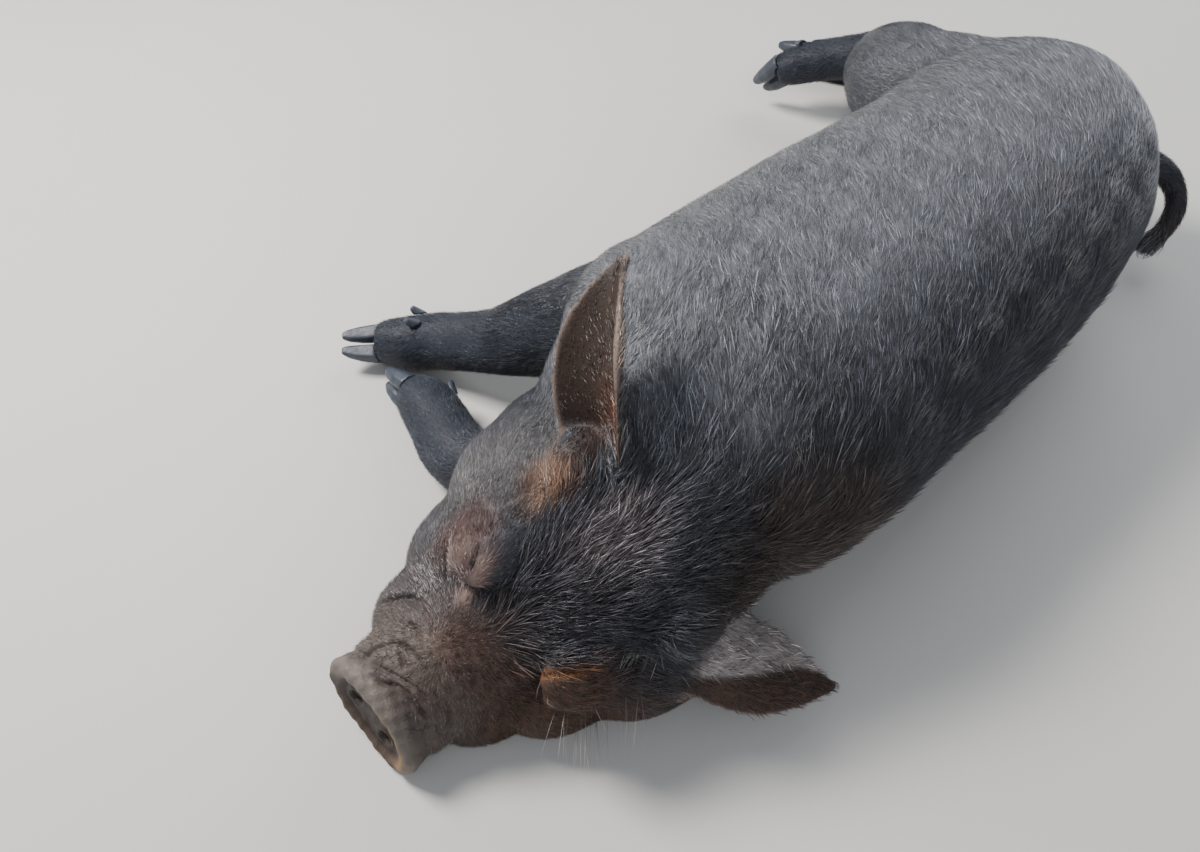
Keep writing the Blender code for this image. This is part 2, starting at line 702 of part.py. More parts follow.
def lock(bm, sections):
    """Add one flat tapered lock through sections of a middle, a side way, an upward way and a width."""
    loops = []
    for centre, side, upward, wide in sections:
        if wide == 0.0:
            loops.append([bm.verts.new(centre)])
            continue
        across = side * LOCK_HALF_WIDTH * wide
        thick = upward * LOCK_HALF_THICKNESS * (0.5 + 0.5 * wide)
        loops.append([bm.verts.new(centre + corner) for corner in (across, thick, -across, -thick)])
    for first, second in zip(loops, loops[1:]):
        for corner in range(4):
            after = (corner + 1) % 4
            if len(second) == 1:
                bm.faces.new((first[corner], first[after], second[0]))
            else:
                bm.faces.new((first[corner], first[after], second[after], second[corner]))
    bm.faces.new(loops[0])


def lying_lock(tree, root, heading, length, lift, sway):
    """The sections of a lock that runs over the skin from root and bends away at its tip."""
    place, normal = tree.find_nearest(root)[:2]
    heading = Vector(heading)
    done = 0.0
    sections = []
    for along, wide in LOCK_SHAPE:
        heading = (heading - normal * normal.dot(heading)).normalized()
        heading = Matrix.Rotation(sway * (along - done), 3, normal) @ heading
        place, normal = tree.find_nearest(place + heading * length * (along - done))[:2]
        done = along
        height = -LOCK_SINK
        if along > 0.0:
            height = LOCK_HALF_THICKNESS + LOCK_CLEARANCE + lift * max(along - LOCK_SHAPE[1][0], 0.0) ** 1.3
        sections.append((place + normal * height, normal.cross(heading).normalized(), normal, wide))
    return sections


def hanging_lock(root, heading, outward, length, flare):
    """The sections of a lock that leaves its root along heading and flares outward."""
    sections = []
    heading = Vector(heading).normalized()
    outward = Vector(outward)
    outward = (outward - heading * heading.dot(outward)).normalized()
    for along, wide in LOCK_SHAPE:
        centre = Vector(root) + heading * length * along + outward * (flare * along ** 1.6 - 0.0010)
        sections.append((centre, outward.cross(heading), outward, wide))
    return sections


def fuse_locks(obj, locks):
    """Root the locks in the object and make it one closed surface again."""
    fused = collection("locks")
    for sections in locks:
        bm = bmesh.new()
        lock(bm, sections)
        object_from("lock", bm, fused)
    boolean(obj, "UNION", fused, solver="MANIFOLD")
    for piece in list(fused.objects):
        remove(piece)
    bpy.data.collections.remove(fused)
    keep_largest(obj)


def crown_locks(tree):
    """Locks in staggered rows from between the eyes back over the crown, fanning out as they go."""
    frame = head_frame()
    turn = frame.to_3x3()
    locks = []
    for along, columns, half_width in CROWN_ROWS:
        for column in range(columns):
            across = half_width * (2 * (column + 0.5) / columns - 1)
            root = Vector((along + random.uniform(-0.003, 0.003), across, 0.03))
            heading = Vector((root.x - CROWN_FAN, across + random.uniform(-0.008, 0.008), 0.0))
            locks.append(lying_lock(tree, frame @ root, turn @ heading,
                                    CROWN_LOCK_LENGTH * random.uniform(0.8, 1.15),
                                    LOCK_LIFT * random.uniform(0.8, 1.3), random.uniform(-0.4, 0.4)))
    return locks


def ridge_locks(tree, first, last, count):
    """Locks in two staggered lines along the spine, from first to last, lying towards the tail."""
    locks = []
    first, last = Vector(first), Vector(last)
    for index in range(count):
        root = first.lerp(last, index / (count - 1))
        root.z += (RIDGE_STAGGER if index % 2 else -RIDGE_STAGGER) + random.uniform(-0.002, 0.002)
        heading = (1.0, 0.0, random.uniform(-0.12, 0.12) + (0.10 if index % 2 else -0.10))
        locks.append(lying_lock(tree, root, heading, RIDGE_LOCK_LENGTH * random.uniform(0.85, 1.15),
                                LOCK_LIFT * random.uniform(0.6, 1.0), random.uniform(-0.3, 0.3)))
    return locks


def tassel_locks():
    """Locks round the end of the tail, on past its tip."""
    tip, before = Vector(TAIL[-1][:3]), Vector(TAIL[-2][:3])
    heading = (tip - before).normalized()
    side = heading.cross(Vector((0, 0, 1))).normalized()
    upward = side.cross(heading)
    start, arc = (math.radians(angle) for angle in TASSEL_ARC)
    locks = []
    for index in range(TASSEL_LOCKS):
        angle = start + arc * index / (TASSEL_LOCKS - 1)
        outward = side * math.cos(angle) + upward * math.sin(angle)
        root = tip - heading * 0.006 + outward * TAIL[-1].across * 0.55
        locks.append(hanging_lock(root, heading, outward, TASSEL_LOCK_LENGTH * random.uniform(0.8, 1.1),
                                  0.0045 * random.uniform(0.6, 1.3)))
    return locks


def swept_tube(name, points, radius, group):
    """A closed tube of round section through the points."""
    bm = bmesh.new()
    rings = [Ring(*point, radius, radius) for point in points]
    loft(bm, rings, (0.1, 0.2, 0.97), sides=8, steps=3)
    return object_from(name, bm, group)


def cut_mouth(head, cutters):
    """Cut the line between the lips, along the surface of the muzzle."""
    tree = surface_tree(head)
    frame = head_frame()
    left = [Vector(point) for point in MOUTH_HALF]
    right = [Vector((point.x, -point.y, point.z)) for point in reversed(left[1:])]
    rings = []
    for point in smooth_rings([Ring(*point, 0, 0) for point in right + left], 3):
        place, normal = tree.find_nearest(frame @ Vector(point[:3]))[:2]
        rings.append(place + normal * MOUTH_DEPTH * 0.15)
    groove = swept_tube("groove", rings, MOUTH_DEPTH, cutters)
    boolean(head, "DIFFERENCE", groove)
    remove(groove)


def cut_snout(head, cutters):
    """Hollow the disc's face and open the two nostrils."""
    frame = disc_frame()
    face = DISC_THICKNESS / 2
    for middle, half_sizes in (
        ((face + 0.0010, 0, 0), (0.0042, DISC_WIDTH / 2 - 0.007, DISC_HEIGHT / 2 - 0.006)),
        ((face - 0.0020, NOSTRIL_SPREAD, 0.001), (NOSTRIL_DEPTH, *NOSTRIL_SIZE)),
        ((face - 0.0020, -NOSTRIL_SPREAD, 0.001), (NOSTRIL_DEPTH, *NOSTRIL_SIZE)),
    ):
        bm = bmesh.new()
        ellipsoid(bm, middle, half_sizes, frame, segments=16)
        hollow = object_from("hollow", bm, cutters)
        boolean(head, "DIFFERENCE", hollow)
        remove(hollow)


def set_eye(name, head, sign, group, cutters):
    """Cut the slit between the lids and set the sliver of eyeball that shows in it."""
    tree = surface_tree(head)
    frame = eye_frame(sign)
    outward = (frame.to_3x3() @ Vector((0, 0, 1))).normalized()
    start = frame.translation + outward * 0.05
    surface = tree.ray_cast(start, -outward)[0]
    place = Matrix.Translation(surface - outward * 0.0055) @ frame.to_3x3().to_4x4()
    half_long, half_high, half_deep = EYE_SLIVER
    for grow, keep in ((0.0, True), (GAP, False)):
        bm = bmesh.new()
        bmesh.ops.create_uvsphere(bm, u_segments=12, v_segments=6, radius=1.0, matrix=place @ Matrix.Diagonal(
            (half_long + grow, half_high + grow, half_deep + grow, 1.0)))
        if keep:
            object_from(name, bm, group)
            continue
        socket = object_from("socket", bm, cutters)
        boolean(head, "DIFFERENCE", socket)
        remove(socket)
        slit = block("slit", surface - outward * 0.003, outward, place.to_3x3() @ Vector((0, 1, 0)),
                     (0.02, 2 * half_long * 0.86, 2 * half_high * 0.9), cutters)
        boolean(head, "DIFFERENCE", slit)
        remove(slit)


def wattle(name, under_jaw, lie, neighbours, group, cutters):
    """One wattle: a small hanging bulb with a narrower neck, rooted on the throat."""
    frame = head_frame()
    upward = (frame.to_3x3() @ Vector((0, 0, 1))).normalized()
    start = frame @ Vector((*under_jaw, -0.30))
    root = surface_tree(neighbours[0]).ray_cast(start, upward)[0]
    lie = Vector(lie).normalized()
    rings = []
    for t, swell in WATTLE_SHAPE:
        radius = WATTLE_RADIUS * swell
        rings.append(Ring(*(root + lie * WATTLE_LENGTH * t), radius, radius))
    bm = bmesh.new()
    loft(bm, rings, (1, 0.1, 0), sides=8, steps=1)
    obj = object_from(name, bm, group)
    for neighbour in neighbours:
        trim(obj, neighbour, cutters)
    return obj


def recentre(objects):
    """Move every mesh so that the origin is the middle of the outline on the floor."""
    corners = [obj.matrix_world @ Vector(corner) for obj in objects for corner in obj.bound_box]
    low = Vector([min(corner[axis] for corner in corners) for axis in range(3)])
    high = Vector([max(corner[axis] for corner in corners) for axis in range(3)])
    shift = Matrix.Translation((-(low.x + high.x) / 2, -(low.y + high.y) / 2, -low.z))
    for obj in objects:
        obj.data.transform(shift)


def part_all(whole, cuts, group, cutters):
    """Part an object with thin cuts, and return its parts by name."""
    parts = {whole.name: whole}
    for cut in cuts:
        box = {"point": cut.point, "outward": cut.outward, "up": cut.up, "sizes": cut.sizes}
        parts[cut.name] = part_off(parts[cut.source], cut.name, group, cutters, **box)
    return parts


def make_ears(neighbours, group, cutters):
    """Both ears, cut back to the skin they stand on: the right one stands, the left one lies down."""
    for place in EARS:
        obj = ear(*place, group)
        for neighbour in neighbours:
            trim(obj, neighbour, cutters)


def make_hooves(parts, group, cutters):
    """The claws and dewclaws of the four feet, each cut back to its foot's surface."""
    homes = {"front_right": ("foot_front_right", "leg_front_right"), "front_left": ("leg_front_left",),
             "hind_right": ("foot_hind_right", "thigh_right"), "hind_left": ("foot_hind_left", "thigh_left")}
    for foot in FEET:
        for sign, side in ((1, "upper"), (-1, "lower")):
            neighbours = [parts[home] for home in homes[foot.name]]
            pair = (claw(f"claw_{foot.name}_{side}", foot, sign, group),
                    dewclaw(f"dewclaw_{foot.name}_{side}", foot, sign, neighbours[0], group))
            for obj in pair:
                for neighbour in neighbours:
                    trim(obj, neighbour, cutters)


def make_tail(rump, group, cutters):
    """The tail, cut back to the rump and parted in three lengths, and its last one."""
    bm = bmesh.new()
    loft(bm, TAIL, (0, 0.2, 1), sides=10, steps=2)
    root = object_from("tail_root", bm, group)
    trim(root, rump, cutters)
    return part_all(root, TAIL_CUTS, group, cutters)["tail_tip"]


def main():
    """Build the pig."""
    clear_scene()
    random.seed(SEED)
    pig = collection(COLLECTION_NAME)
    cutters = collection("cutters")
    hide = material("slate_hide", (0.045, 0.048, 0.058), 0.6)
    horn = material("slate_hoof", (0.10, 0.12, 0.16), 0.45)
    eye = material("dark_eye", (0.02, 0.015, 0.012), 0.15)

    torso = flesh("torso", pig)
    flatten_below(torso, cutters)
    skin = surface_tree(torso)
    parts = part_all(torso, CUTS, pig, cutters)
    head = parts["head"]
    cut_mouth(head, cutters)
    cut_snout(head, cutters)
    set_eye("eye_left", head, 1, pig, cutters)
    set_eye("eye_right", head, -1, pig, cutters)
    make_ears((head, parts["neck"]), pig, cutters)
    make_hooves(parts, pig, cutters)
    tail_tip = make_tail(parts["rump"], pig, cutters)
    for name, under_jaw, lie in WATTLES:
        wattle(name, under_jaw, lie, (head, parts["neck"], parts["leg_front_left"]), pig, cutters)
    fuse_locks(head, crown_locks(skin))
    for name, first, last, count in RIDGES:
        fuse_locks(parts[name], ridge_locks(skin, first, last, count))
    fuse_locks(tail_tip, tassel_locks())
    for obj in pig.objects:
        if obj.name.startswith(("ear", "claw", "dewclaw", "tail", "wattle")):
            flatten_below(obj, cutters)
        obj.data.materials.clear()
        obj.data.materials.append(horn if "claw" in obj.name else eye if "eye" in obj.name else hide)
        obj.data.shade_smooth()
    recentre(list(pig.objects))


if __name__ == "__main__":
    main()
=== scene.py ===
"""A kunekune pig asleep on its left side: one hide, its coat of bristles, its eyes and its hooves.

Everything is in metres, in the frame of the solids: +X from the snout towards the rump, +Y from the
back towards the feet, +Z up, with the floor at z = 0. The head has a frame of its own: x to the
snout, y to the pig's left, z to the crown.
"""
from __future__ import annotations

import json
import logging
import math
from dataclasses import dataclass, field
from enum import Enum

import bmesh
import bpy
import numpy as np
from bmesh.types import BMesh, BMVert
from bpy.types import ID, Material, Mesh, Node, NodeSocket, Object
from mathutils import Matrix, Vector
from mathutils.bvhtree import BVHTree

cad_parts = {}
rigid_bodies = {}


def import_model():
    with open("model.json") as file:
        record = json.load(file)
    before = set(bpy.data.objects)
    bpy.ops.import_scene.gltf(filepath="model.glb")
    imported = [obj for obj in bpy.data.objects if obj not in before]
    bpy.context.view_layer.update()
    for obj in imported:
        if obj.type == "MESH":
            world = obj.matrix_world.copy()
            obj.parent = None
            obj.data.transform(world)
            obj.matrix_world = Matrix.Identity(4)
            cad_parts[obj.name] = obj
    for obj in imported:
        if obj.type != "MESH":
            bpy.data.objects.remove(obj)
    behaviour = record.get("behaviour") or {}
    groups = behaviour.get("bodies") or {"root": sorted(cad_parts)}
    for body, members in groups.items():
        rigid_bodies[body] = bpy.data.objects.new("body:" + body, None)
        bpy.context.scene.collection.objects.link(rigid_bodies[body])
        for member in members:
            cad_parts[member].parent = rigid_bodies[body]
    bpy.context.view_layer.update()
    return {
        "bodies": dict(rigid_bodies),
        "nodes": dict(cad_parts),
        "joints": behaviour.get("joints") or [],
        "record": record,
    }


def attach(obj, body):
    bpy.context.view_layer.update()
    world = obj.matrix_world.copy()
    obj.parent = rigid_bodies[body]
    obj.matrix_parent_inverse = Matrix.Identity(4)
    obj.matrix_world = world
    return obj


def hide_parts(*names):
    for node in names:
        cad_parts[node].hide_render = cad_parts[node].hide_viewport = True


log = logging.getLogger("pig")

SEED = 11
ROOT_BODY = "root"

# The tables of the flesh are drawn with the spine's low end near zero; this moves them to the frame
TO_FRAME = Vector((-0.33663, -0.12400, 0.0))

Array = np.ndarray
Row = tuple[float, ...]
Vec = tuple[float, float, float]
Colour = tuple[float, float, float]


class Side(Enum):
    """A side of the animal, with the sign of y in the head's frame."""

    LEFT = 1
    RIGHT = -1


def ease(low: float, high: float, values: Array) -> Array:
    """A soft step from 0 at low to 1 at high."""
    t = np.clip((values - low) / (high - low), 0.0, 1.0)
    return t * t * (3 - 2 * t)


def mixed(colour: Array, other: Colour, share: Array) -> Array:
    """Rows of colour, each moved towards another colour by its share."""
    return colour + (np.array(other) - colour) * share[:, None]


def unit(vectors: Array) -> Array:
    """The vectors, each scaled to length one."""
    return vectors / np.maximum(np.linalg.norm(vectors, axis=-1, keepdims=True), 1e-9)


def dots(ways: Array, others: Array) -> Array:
    """The dot product of each pair of rows."""
    return np.einsum("ij,ij->i", ways, others)


def mm(*rows: Row) -> tuple[Row, ...]:
    """Rows told in millimetres, in metres."""
    return tuple(tuple(round(value / 1000, 7) for value in row) for row in rows)


def gap(points: Array, line: Array) -> Array:
    """How far each point is from the nearest place of a line, with 1 for all that are farther.

    Args:
        points: the points.
        line: the line's places.

    Returns:
        A distance for each point.
    """
    nearest = np.full(len(points), 1.0)
    for place in line:
        nearest = np.minimum(nearest, dots(points - place, points - place))
    return np.sqrt(nearest)


def near(points: Array, line: Array, reach: float, full: float = 0.75) -> Array:
    """1 for points near a line, falling from a share of its reach to 0 at the reach."""
    return 1 - ease(full * reach, reach, gap(points, line))


def told_by(matrix: Matrix, points: Array) -> Array:
    """Points of the frame, told in the frame of a matrix."""
    back = np.array(matrix.inverted())
    return points @ back[:3, :3].T + back[:3, 3]


def smooth_line(rows: Array, steps: int, lead: float = 0.0) -> Array:
    """Lead a Catmull-Rom curve through rows of numbers.

    Args:
        rows: what it goes through.
        steps: how many rows of the curve there are to each of them.
        lead: how far past its ends it aims, as a share of the first and last stretch.

    Returns:
        The curve's rows.
    """
    before_first = rows[:1] + lead * (rows[:1] - rows[1:2])
    after_last = rows[-1:] + lead * (rows[-1:] - rows[-2:-1])
    padded = np.vstack([before_first, rows, after_last])
    t = (np.arange(steps) / steps)[:, None]
    blend = (2 * t ** 3 - 3 * t ** 2 + 1, t ** 3 - 2 * t ** 2 + t, 3 * t ** 2 - 2 * t ** 3, t ** 3 - t ** 2)
    return np.vstack([*(blend[0] * start + blend[1] * (end - before) / 2 + blend[2] * end
                        + blend[3] * (after - start) / 2
                        for before, start, end, after in zip(padded, padded[1:], padded[2:], padded[3:])),
                      rows[-1:]])


@dataclass(frozen=True)
class HeadPlace:
    """Where the head lies: its turn in degrees, and the poll in the tables' frame."""

    yaw: float = 170.6
    pitch: float = 17.4
    roll: float = -33.7
    poll: Vec = (0.1283, -0.0233, 0.1209)

    def matrix(self) -> Matrix:
        """The matrix from the head's frame to the frame of the solids."""
        turns = ((self.yaw, "Z"), (self.pitch, "Y"), (self.roll, "X"))
        yaw, pitch, roll = (Matrix.Rotation(math.radians(angle), 4, axis) for angle, axis in turns)
        return Matrix.Translation(Vector(self.poll) + TO_FRAME) @ (yaw @ pitch @ roll)

    def inward(self, points: Array) -> Array:
        """Points of the frame, told in the head's frame."""
        return told_by(self.matrix(), points)

    def outward(self, points: Array) -> Array:
        """Points of the head's frame, told in the frame."""
        there = np.array(self.matrix())
        return points @ there[:3, :3].T + there[:3, 3]

    def turn_out(self, vectors: Array) -> Array:
        """Directions of the head's frame, told in the frame."""
        return vectors @ np.array(self.matrix())[:3, :3].T


HEAD = HeadPlace()


@dataclass(frozen=True)
class Limb:
    """A tapering round form; rows are x, y, z, half width and half depth, in the tables' or head's frame."""

    rows: tuple[Row, ...]
    side: Vec
    sides: int = 40
    steps: int = 8
    in_head: bool = False

    def rings(self) -> Array:
        """Rows along a smooth curve through the given ones."""
        return smooth_line(np.array(self.rows), self.steps)

    def line(self, *keep: int | None) -> Array:
        """The places of a slice of the middle line, in the frame."""
        return self.placed(self.rings()[slice(*keep), :3])

    def placed(self, points: Array) -> Array:
        """Points of the table, in the frame."""
        return HEAD.outward(points) if self.in_head else points + np.array(TO_FRAME)

    def build(self, bm: BMesh) -> None:
        """Add the closed form to a bmesh.

        Args:
            bm: the mesh under way.
        """
        rings = self.rings()
        centres = rings[:, :3]
        along = unit(np.gradient(centres, axis=0))
        side = np.array(self.side)
        across = unit(side - along * (along @ side)[:, None])
        through = np.cross(along, across)
        angles = 2 * np.pi * np.arange(self.sides) / self.sides
        loops = []
        for index, ring in enumerate(rings):
            points = (centres[index] + np.outer(np.cos(angles) * ring[3], across[index])
                      + np.outer(np.sin(angles) * ring[4], through[index]))
            loops.append([bm.verts.new(point) for point in self.placed(points)])
        bridge(bm, loops)


def bridge(bm: BMesh, loops: list[list[BMVert]]) -> None:
    """Join rings of points with faces and close both ends.

    Args:
        bm: the mesh that holds the points.
        loops: the rings, in their order, of one length.
    """
    for first, second in zip(loops, loops[1:]):
        for corner in range(len(first)):
            after = (corner + 1) % len(first)
            bm.faces.new((first[corner], first[after], second[after], second[corner]))
    bm.faces.new(reversed(loops[0]))
    bm.faces.new(loops[-1])


def add_ball(bm: BMesh, matrix: Matrix, segments: int) -> None:
    """Add a ball of radius one, placed and stretched by a matrix."""
    bmesh.ops.create_uvsphere(bm, u_segments=segments, v_segments=segments // 2, radius=1.0, matrix=matrix)


@dataclass(frozen=True)
class Mass:
    """A rounded mass of flesh: middle and half sizes; off the middle of the head it is one of a pair."""

    middle: Vec
    half: Vec
    in_head: bool = False

    def build(self, bm: BMesh) -> None:
        """Add the mass to a bmesh, with its mirror image if it has one."""
        frame = HEAD.matrix() if self.in_head else Matrix.Translation(TO_FRAME)
        for sign in (1, -1) if self.in_head and self.middle[1] else (1,):
            middle = Matrix.Translation((self.middle[0], sign * self.middle[1], self.middle[2]))
            add_ball(bm, frame @ middle @ Matrix.Diagonal((*self.half, 1.0)), 48)


BELLY = (0.0, 1.0, 0.0)
ALONG = (1.0, 0.0, 0.0)

TRUNK = Limb(mm(
    (158, 46, 84, 50, 46), (172, 40, 86, 78, 66), (196, 36, 88, 102, 80), (237, 35, 89, 110, 88),
    (300, 38, 88, 109, 90), (380, 40, 88, 107, 91), (450, 43, 88, 102, 91), (510, 51, 88, 98, 90),
    (552, 58, 87, 90, 84), (584, 62, 83, 76, 73), (606, 64, 79, 56, 55), (620, 64, 76, 30, 32),
), BELLY, sides=72)
NECK = Limb(mm(
    (128, 6, 78, 52, 50), (150, 10, 82, 70, 64), (176, 18, 86, 82, 74), (206, 28, 88, 94, 82),
    (240, 34, 88, 100, 84),
), BELLY, sides=72)
FRONT_LEG_RIGHT = Limb(mm(
    (262, 80, 100, 34, 34), (236, 118, 88, 36, 38), (214, 152, 66, 31, 33), (192, 184, 46, 24, 24),
    (178, 211, 33, 20, 20), (166, 232, 24, 19.5, 20), (151, 249, 19.5, 18.5, 19),
    (139, 263, 16.5, 14.5, 15.5),
), ALONG)
FRONT_LEG_LEFT = Limb(mm(
    (240, 80, 45, 34, 34), (200, 98, 36, 32, 32), (160, 104, 27, 26, 25), (128, 122, 22.5, 22.5, 22),
    (122, 148, 21.5, 21.5, 22), (128, 176, 19.5, 20.5, 20.5), (131, 197, 18, 18.5, 18.5),
    (130, 211, 15.5, 14, 15),
), ALONG)
HIND_LEG_RIGHT = Limb(mm(
    (555, 76, 104, 48, 48), (546, 116, 106, 53, 46), (546, 150, 103, 50, 42), (568, 182, 96, 44, 34),
    (598, 212, 82, 30, 26), (612, 234, 70, 21, 20), (602, 258, 60, 17.5, 17.5),
    (588, 278, 52, 17.5, 17.5), (577, 292, 45, 16, 16), (570, 301, 40, 13, 13),
), ALONG)
HIND_LEG_LEFT = Limb(mm(
    (562, 80, 50, 46, 42), (560, 128, 42, 46, 38), (580, 172, 34, 40, 31), (622, 208, 28, 30, 25),
    (660, 236, 23, 22, 21), (672, 258, 20, 18.5, 19), (664, 284, 17.5, 17.2, 17.2),
    (654, 306, 16, 17.2, 16.8), (646, 320, 15, 15.5, 15), (641, 329, 14.5, 12.5, 12.5),
), ALONG)
TAIL = Limb(mm(
    (606, 30, 66, 13, 13), (632, 20, 68, 11.5, 11.5), (652, 11, 65, 10.2, 10.2),
    (664, -2, 57, 9.2, 9.2), (664, -15, 46, 8.3, 8.3), (653, -23, 35, 7.5, 7.5),
    (638, -24, 25, 6.8, 6.8), (626, -21, 17, 5.8, 5.8),
), (0.0, 0.2, 1.0), sides=24)
LEGS = (FRONT_LEG_RIGHT, FRONT_LEG_LEFT, HIND_LEG_RIGHT, HIND_LEG_LEFT)
BODY_MASSES = tuple(Mass(*mm(middle, half)) for middle, half in (
    ((222, 66, 108), (60, 66, 68)), ((545, 84, 104), (62, 68, 56)), ((574, 58, 81), (44, 62, 66)),
    ((150, 74, 56), (50, 46, 50)),
))
SKULL = Limb(mm(
    (-50, 0, -64, 58, 48), (-22, 0, -58, 66, 57), (10, 0, -54, 66, 56), (40, 0, -56, 61, 52),
    (66, 0, -60, 55, 46), (92, 0, -62, 47, 38), (116, 0, -63, 41, 32), (140, 0, -60, 36, 26),
    (160, 0, -57, 33, 23),
), BELLY, sides=64, in_head=True)
JAW = Limb(mm(
    (0, 0, -88, 56, 34), (40, 0, -88, 50, 26), (75, 0, -85, 41, 20), (105, 0, -81, 33, 15.5),
    (130, 0, -78, 24, 12.5), (146, 0, -77, 14, 9),
), BELLY, in_head=True)
HEAD_MASSES = tuple(Mass(*mm(middle, half), True) for middle, half in (
    ((30, 49, -68), (52, 40, 47)), ((76, 40, -66), (40, 30, 34)), ((56, 42, -40), (34, 20, 22)),
    ((64, 32, -16), (24, 14, 9)), ((8, 45, -20), (22, 17, 16)), ((112, 32, -69), (34, 20, 19)),
    ((112, 0, -37), (28, 22, 8)),
))


@dataclass(frozen=True)
class Eye:
    """One nearly closed eye: its place in the head's frame, and the lie of the slit."""

    side: Side
    place: Vec = (0.0758, 0.0360, -0.0120)
    outward: Vec = (0.30, 0.50, 0.80)
    slit: Vec = (0.79, -0.50, -0.20)
    bulge: Vec = (0.0140, 0.0100, 0.0068)
    drop: float = 0.0095

    def matrix(self) -> Matrix:
        """The eye's frame: x forward along the slit, z out of the head."""
        place, outward, slit = (Vector((x, self.side.value * y, z)) for x, y, z in
                                (self.place, self.outward, self.slit))
        outward.normalize()
        slit = (slit - outward * outward.dot(slit)).normalized()
        axes = Matrix((slit, outward.cross(slit), outward)).transposed().to_4x4()
        return HEAD.matrix() @ Matrix.Translation(place) @ axes

    def build(self, bm: BMesh) -> None:
        """Add the lid's bulge over the eyeball."""
        place = Matrix.Translation((0.001, self.side.value * self.drop, -0.004))
        add_ball(bm, self.matrix() @ place @ Matrix.Diagonal((*self.bulge, 1.0)), 32)


EYES = (Eye(Side.LEFT), Eye(Side.RIGHT))


@dataclass(frozen=True)
class Snout:
    """The snout's disc, with its nostrils, in the head's frame."""

    centre: Vec = (0.165, 0.0, -0.056)
    tilt: float = 30.0
    width: float = 0.068
    height: float = 0.048
    thickness: float = 0.010
    nostril_spread: float = 0.0125
    nostril: tuple[float, float] = (0.0042, 0.0062)
    nostril_depth: float = 0.011

    def matrix(self) -> Matrix:
        """The disc's frame: x out of its face, y to the pig's left, z up its face."""
        tilt = Matrix.Rotation(-math.radians(self.tilt), 4, "Y")
        return HEAD.matrix() @ Matrix.Translation(self.centre) @ tilt

    def build(self, bm: BMesh) -> None:
        """Add the disc."""
        rim = Matrix.Diagonal((self.thickness / 2, self.width / 2, self.height / 2, 1.0))
        bmesh.ops.create_cone(bm, cap_ends=True, segments=64, radius1=1.0, radius2=1.0, depth=2.0,
                              matrix=self.matrix() @ rim @ Matrix.Rotation(math.pi / 2, 4, "Y"))

    def told(self, points: Array) -> Array:
        """Points of the frame, told in the disc's frame."""
        return told_by(self.matrix(), points)

    def reach(self, disc: Array, inset: tuple[float, float] = (0.0, 0.0)) -> Array:
        """How far out on the disc points are told to be, with 1 on its edge less an inset."""
        return np.hypot(disc[:, 1] / (self.width / 2 - inset[0]), disc[:, 2] / (self.height / 2 - inset[1]))

    def facing(self) -> Array:
        """The way the disc faces."""
        return np.array(self.matrix().to_3x3() @ Vector((1, 0, 0)))


SNOUT = Snout()


